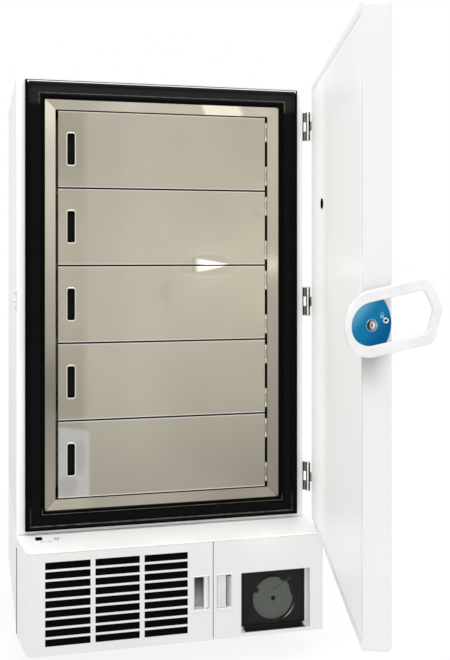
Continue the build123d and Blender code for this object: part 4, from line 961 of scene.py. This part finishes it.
# %% The chart's ring, clips and hub
def ring_black():
    """Gloss black, with a painted highlight along a short arc at the lower right."""
    finish = Finish("ring_black", {"IOR": 1.15})
    across, up = axis(finish, "X") - CHART_X, axis(finish, "Z") - CHART_Z
    turn = maths("ARCTAN2", up, across)
    # painted highlight on a short arc at the lower right
    arc_highlight = turn.between(radians(-66), radians(-48)) * (1 - turn.between(radians(-42), radians(-12)))
    arc_highlight = arc_highlight * within(distance(across, up), 77.6, 79.6, 0.4)
    finish.colour(blend(arc_highlight, grey(0.006), (0.80, 0.80, 0.78)))
    return finish.rough(0.15 + 0.1 * noise(finish, 60))


def chart_axis(depth_mm):
    return CHART_X, depth_mm * MM, CHART_Z


def clip(degrees, length_mm, width_mm):
    """A bent tab that reaches in over the paper's edge."""
    angle = radians(degrees)
    out, along = Vector((cos(angle), 0, sin(angle))), Vector((-sin(angle), 0, cos(angle)))
    points = []
    for under in (0, -0.7):
        for reach, lift in ((77, -1.2), (74, 0.0), (70, 0.2), (70 - length_mm, 0.2)):
            for side in (-width_mm / 2, width_mm / 2):
                shift = out * reach + along * side + Vector((0, lift + under, 0))
                points.append(Vector(chart_axis(-522.6)) + shift * MM)
    faces = [(0, 8, 9, 1), (6, 7, 15, 14)]
    for low in (0, 2, 4):
        faces += [(low, low + 1, low + 3, low + 2), (low + 8, low + 10, low + 11, low + 9)]
        faces += [(low, low + 2, low + 10, low + 8), (low + 1, low + 9, low + 11, low + 3)]
    return points, faces


ring_outline = [(73.5, 0.0), (74.6, 0.6), (76.6, 1.8), (78.6, 3.6), (79.8, 5.0), (80.6, 4.8), (81.0, 0.0)]
chart_ring = ring(ring_outline, chart_axis(-518.6), (0, -1, 0), 72)
clips = merged([clip(152, 10, 16), clip(18, 6, 34), clip(62, 5, 14)])
hub_outline = [(8.0, 0.0), (8.0, 0.7), (7.2, 1.3), (5.0, 1.5), (2.0, 1.7), (0.1, 1.7)]
hub_form = turned(hub_outline, chart_axis(-521.6), (0, -1, 0))
piece("chart_ring", chart_ring, "cabinet", ring_black())
piece("chart_clips", clips, "cabinet", recorder_black, 0)
piece("chart_hub", hub_form, "cabinet", recorder_black)
print("chart ring, three clips and a hub")

# %% [markdown]
# Where the case meets the base, the edge of a sealing strip shows as a thin line. Rounded black strips also
# cover the joint at the base cover's sides.

# %% Sealing strips
def strip_between(first, second):
    """An open strip from one line of points to another."""
    count = len(first)
    faces = [(step, step + 1, count + step + 1, count + step) for step in range(count - 1)]
    return first + second, faces


under_profile = [(-0.1, 424.9), (-0.55, 425.1), (-0.7, 425.5), (-0.55, 425.9), (-0.1, 426.1)]
strip_grey = moulded("strip_grey", (0.66, 0.655, 0.65), 0.5)
ends = [[(x * MM, FRONT + out * MM, height * MM) for out, height in under_profile] for x in (-505, 505)]
piece("base_sealing_strip", strip_between(*ends), "cabinet", strip_grey, 180)
side_profile = [(0.0, -394.5), (1.4, -393.6), (1.9, -391.0), (1.4, -388.4), (0.0, -387.5)]
sides = []
for side in (-1, 1):
    ends = [[(side * (HALF_WIDTH + out * MM), y * MM, z * MM) for out, y in side_profile] for z in (104, 389)]
    sides.append(strip_between(*ends))
piece("base_side_strips", merged(sides), "cabinet", black_plastic, 180)
print("sealing strips under the case and beside the base")

# %% [markdown]
# Two small things on the ledge catch the eye because they are black: the slot in the switch plate, which
# has a lining just inside its walls, and a flat rubber ring round the plunger.

# %% Slot lining and plunger ring
LEDGE_TOP = 426 * MM
SLOT_LEFT, SLOT_NEAR, SLOT_WIDE, SLOT_LONG = -448 * MM, -443.5 * MM, 20 * MM, 31 * MM
PLUNGER = (-380 * MM, FRONT - 60 * MM, LEDGE_TOP)


def slot_lining(rim=1.2, deep=6):
    """An open box with a thin rim, let into the plate's slot."""
    rings = []
    for grow, up in ((rim, 0.25), (0.2, 0.35), (-0.4, 0.0), (-0.4, -deep)):
        left, right = SLOT_LEFT - grow * MM, SLOT_LEFT + SLOT_WIDE + grow * MM
        near, far = SLOT_NEAR - grow * MM, SLOT_NEAR + SLOT_LONG + grow * MM
        z = LEDGE_TOP + up * MM
        rings.append([(left, near, z), (right, near, z), (right, far, z), (left, far, z)])
    return joined(rings, last_cap=True)


plunger_ring = ring([(6.2, 0.0), (8.2, 0.0), (8.2, 0.5), (6.2, 0.5)], PLUNGER, (0, 0, 1))
piece("slot_lining", merged([slot_lining(), plunger_ring]), "cabinet", black_plastic)
print("slot lining and plunger ring")

# %% [markdown]
# Pressing a deep cup into a panel pulls the sheet at its two ends into low lips. They are half-round bars
# with tapered ends, and each rides on its panel.

# %% Lips of the latch cups
LIP_HALF, LIP_PROUD = 30 * MM, 2.6 * MM


def lip(middle, height, steps=10, sides=8):
    """A low half-round bar, flush with the panel at both ends."""
    rings = []
    for step in range(steps + 1):
        along = 2 * step / steps - 1
        swell = LIP_PROUD * ((1 - along**4) ** 0.5 + 0.02)
        x, face = middle + along * LIP_HALF, PANEL_FACE + 0.3 * MM
        angles = [pi * turn / sides for turn in range(sides + 1)]
        rings.append([(x, face - swell * sin(angle), height - swell * cos(angle)) for angle in angles])
    return joined(rings)


for panel, middle in (("grille_door", 83 * MM), ("recorder_door", 161 * MM)):
    lips = merged([lip(middle, height * MM) for height in (CUP_HIGH + 2.2, CUP_LOW - 2.2)])
    piece(f"{panel}_cup_lips", lips, panel, handle_white, 60)
print("lips on both latch cups")

# %% [markdown]
# The casters' wheels are rubber on a plastic core. A turned cap with a raised hub on each face shows the
# core and rolls with the wheel.

# %% Wheel cores
WHEELS = ((-395, -188.5), (395, -188.5), (-395, 311.5), (395, 311.5))
CORE = [(25, 0), (24.6, 0.6), (20, 0.3), (13, 0.3), (12, 1.2), (7, 1.4), (6.4, 0.4), (5.2, 0.1)]
for number, (x, y) in enumerate(WHEELS, start=1):
    caps = [
        turned(CORE, ((x + side * 14) * MM, y * MM, 37 * MM), (side, 0, 0), capped=False) for side in (-1, 1)
    ]
    piece(f"wheel_core_{number}", merged(caps), f"wheel_{number}", box_grey)
print("four wheel cores")

# %% [markdown]
# The studio is plain: a pale floor, a white surround and large soft lamps. Three weak strips reach the open
# door's inner face, the ledge and the flange beside the hinges. Stainless steel only shows what stands round
# it, so a grey card behind the camera gives the chamber doors their darker band, which a painted reflection
# in the doors' colour deepens, and a small glowing panel gives the third door its glint.

# %% Floor and surround
def sheet(name, corners, finish):
    """A flat sheet that belongs to the studio and not to the freezer."""
    made = mesh_object(name, (corners, [tuple(range(len(corners)))]), finish)
    return made


floor_finish = Finish("studio_floor", {"Roughness": 0.7, "IOR": 1.1, "Emission Strength": 0.72})
waves = noise(floor_finish, 0.6, 2)
floor_finish.colour(blend(waves, grey(0.27), grey(0.285)))
floor_finish.varies("Emission Color", blend(waves, grey(0.98), (1, 1, 1)))
sheet("studio_floor", [(-14, -14, 0), (14, -14, 0), (14, 14, 0), (-14, 14, 0)], floor_finish)
world = bpy.data.worlds.new("white_surround")
world.use_nodes = True
for socket, value in (("Color", (1, 1, 1, 1)), ("Strength", 1)):
    world.node_tree.nodes["Background"].inputs[socket].default_value = value
bpy.context.scene.world = world
bpy.context.scene.view_settings.view_transform = "Standard"
print("floor and surround")

# %% Lamps, the grey card and the glint
def lamp(name, at, towards, size, power, mirrored=True):
    """A soft lamp. One that isn't mirrored leaves no bright patch in the steel."""
    light = bpy.data.lights.new(name, "AREA")
    light.shape = "RECTANGLE"
    light.size, light.size_y = size
    light.energy = power
    made = bpy.data.objects.new(name, light)
    made.location = at
    made.rotation_euler = (Vector(towards) - Vector(at)).to_track_quat("-Z", "Y").to_euler()
    made.visible_camera, made.visible_glossy = False, mirrored
    bpy.context.scene.collection.objects.link(made)


lamp("key", (-2.6, -3.0, 3.4), (0.0, -0.4, 1.1), (2.4, 2.0), 14)
lamp("fill", (2.8, -3.4, 2.2), (0.2, -0.6, 1.0), (2.0, 2.4), 5)
lamp("top", (0.0, -1.6, 4.2), (0.0, -0.6, 0.4), (2.6, 1.4), 40)
lamp("liner_strip", (-0.15, -0.72, 1.2), (0.6, -0.72, 1.2), (0.25, 1.4), 0.8)
lamp("ledge_strip", (-0.15, -0.64, 1.0), (-0.15, -0.48, 0.43), (0.7, 0.08), 0.6, False)
lamp("flange_strip", (0.27, -0.64, 1.2), (0.52, -0.40, 1.2), (0.1, 1.5), 0.5, False)

LEFT, RIGHT, TOP, BEHIND = -0.085, 0.277, 2.9, -4.6
card_finish = Finish("grey_card", {"Roughness": 0.9})
card_tone = (0.25, 0.24, 0.22)
card_finish.colour(blend(noise(card_finish, 1), card_tone, card_tone))
card_corners = [(LEFT, BEHIND, 0), (RIGHT, BEHIND, 0), (RIGHT, BEHIND, TOP), (LEFT, BEHIND, TOP)]
glow = Finish("glint", {"Emission Strength": 3})
glow.varies("Emission Color", blend(axis(glow, "X").between(0.196, 0.262), grey(0.05), (1, 1, 1)))
glint_corners = [(0.2016, -0.75, 1.3498), (0.2016, -0.75, 1.2907), (0.3538, -0.75, 1.3214)]
for made in (sheet("grey_card", card_corners, card_finish), sheet("glint", glint_corners, glow)):
    made.visible_camera = False
print("six lamps, a grey card and a glint")

# %% [markdown]
# The picture was taken from the left, level and nearly straight on. The camera is turned a little to the
# right without any tilt, so that uprights stay upright, and a small lens shift gives the photograph's
# framing. The focal length and the shifts are in pixels of the 450 by 660 image.

# %% Camera
HIGH = 660
FOCAL, SHIFT_RIGHT, SHIFT_DOWN = 831.3, 70, 75.8
camera_data = bpy.data.cameras.new("portrait_camera")
camera_data.sensor_width = 36
camera_data.lens = FOCAL / HIGH * camera_data.sensor_width
camera_data.shift_x = SHIFT_RIGHT / HIGH
camera_data.shift_y = -SHIFT_DOWN / HIGH
camera = bpy.data.objects.new("portrait_camera", camera_data)
camera.location = (-0.633, -3.187, 1.364)
camera.rotation_euler = (radians(90), 0, radians(-12.01))
bpy.context.scene.collection.objects.link(camera)
bpy.context.scene.camera = camera
print("camera at", tuple(round(c, 3) for c in camera.location))
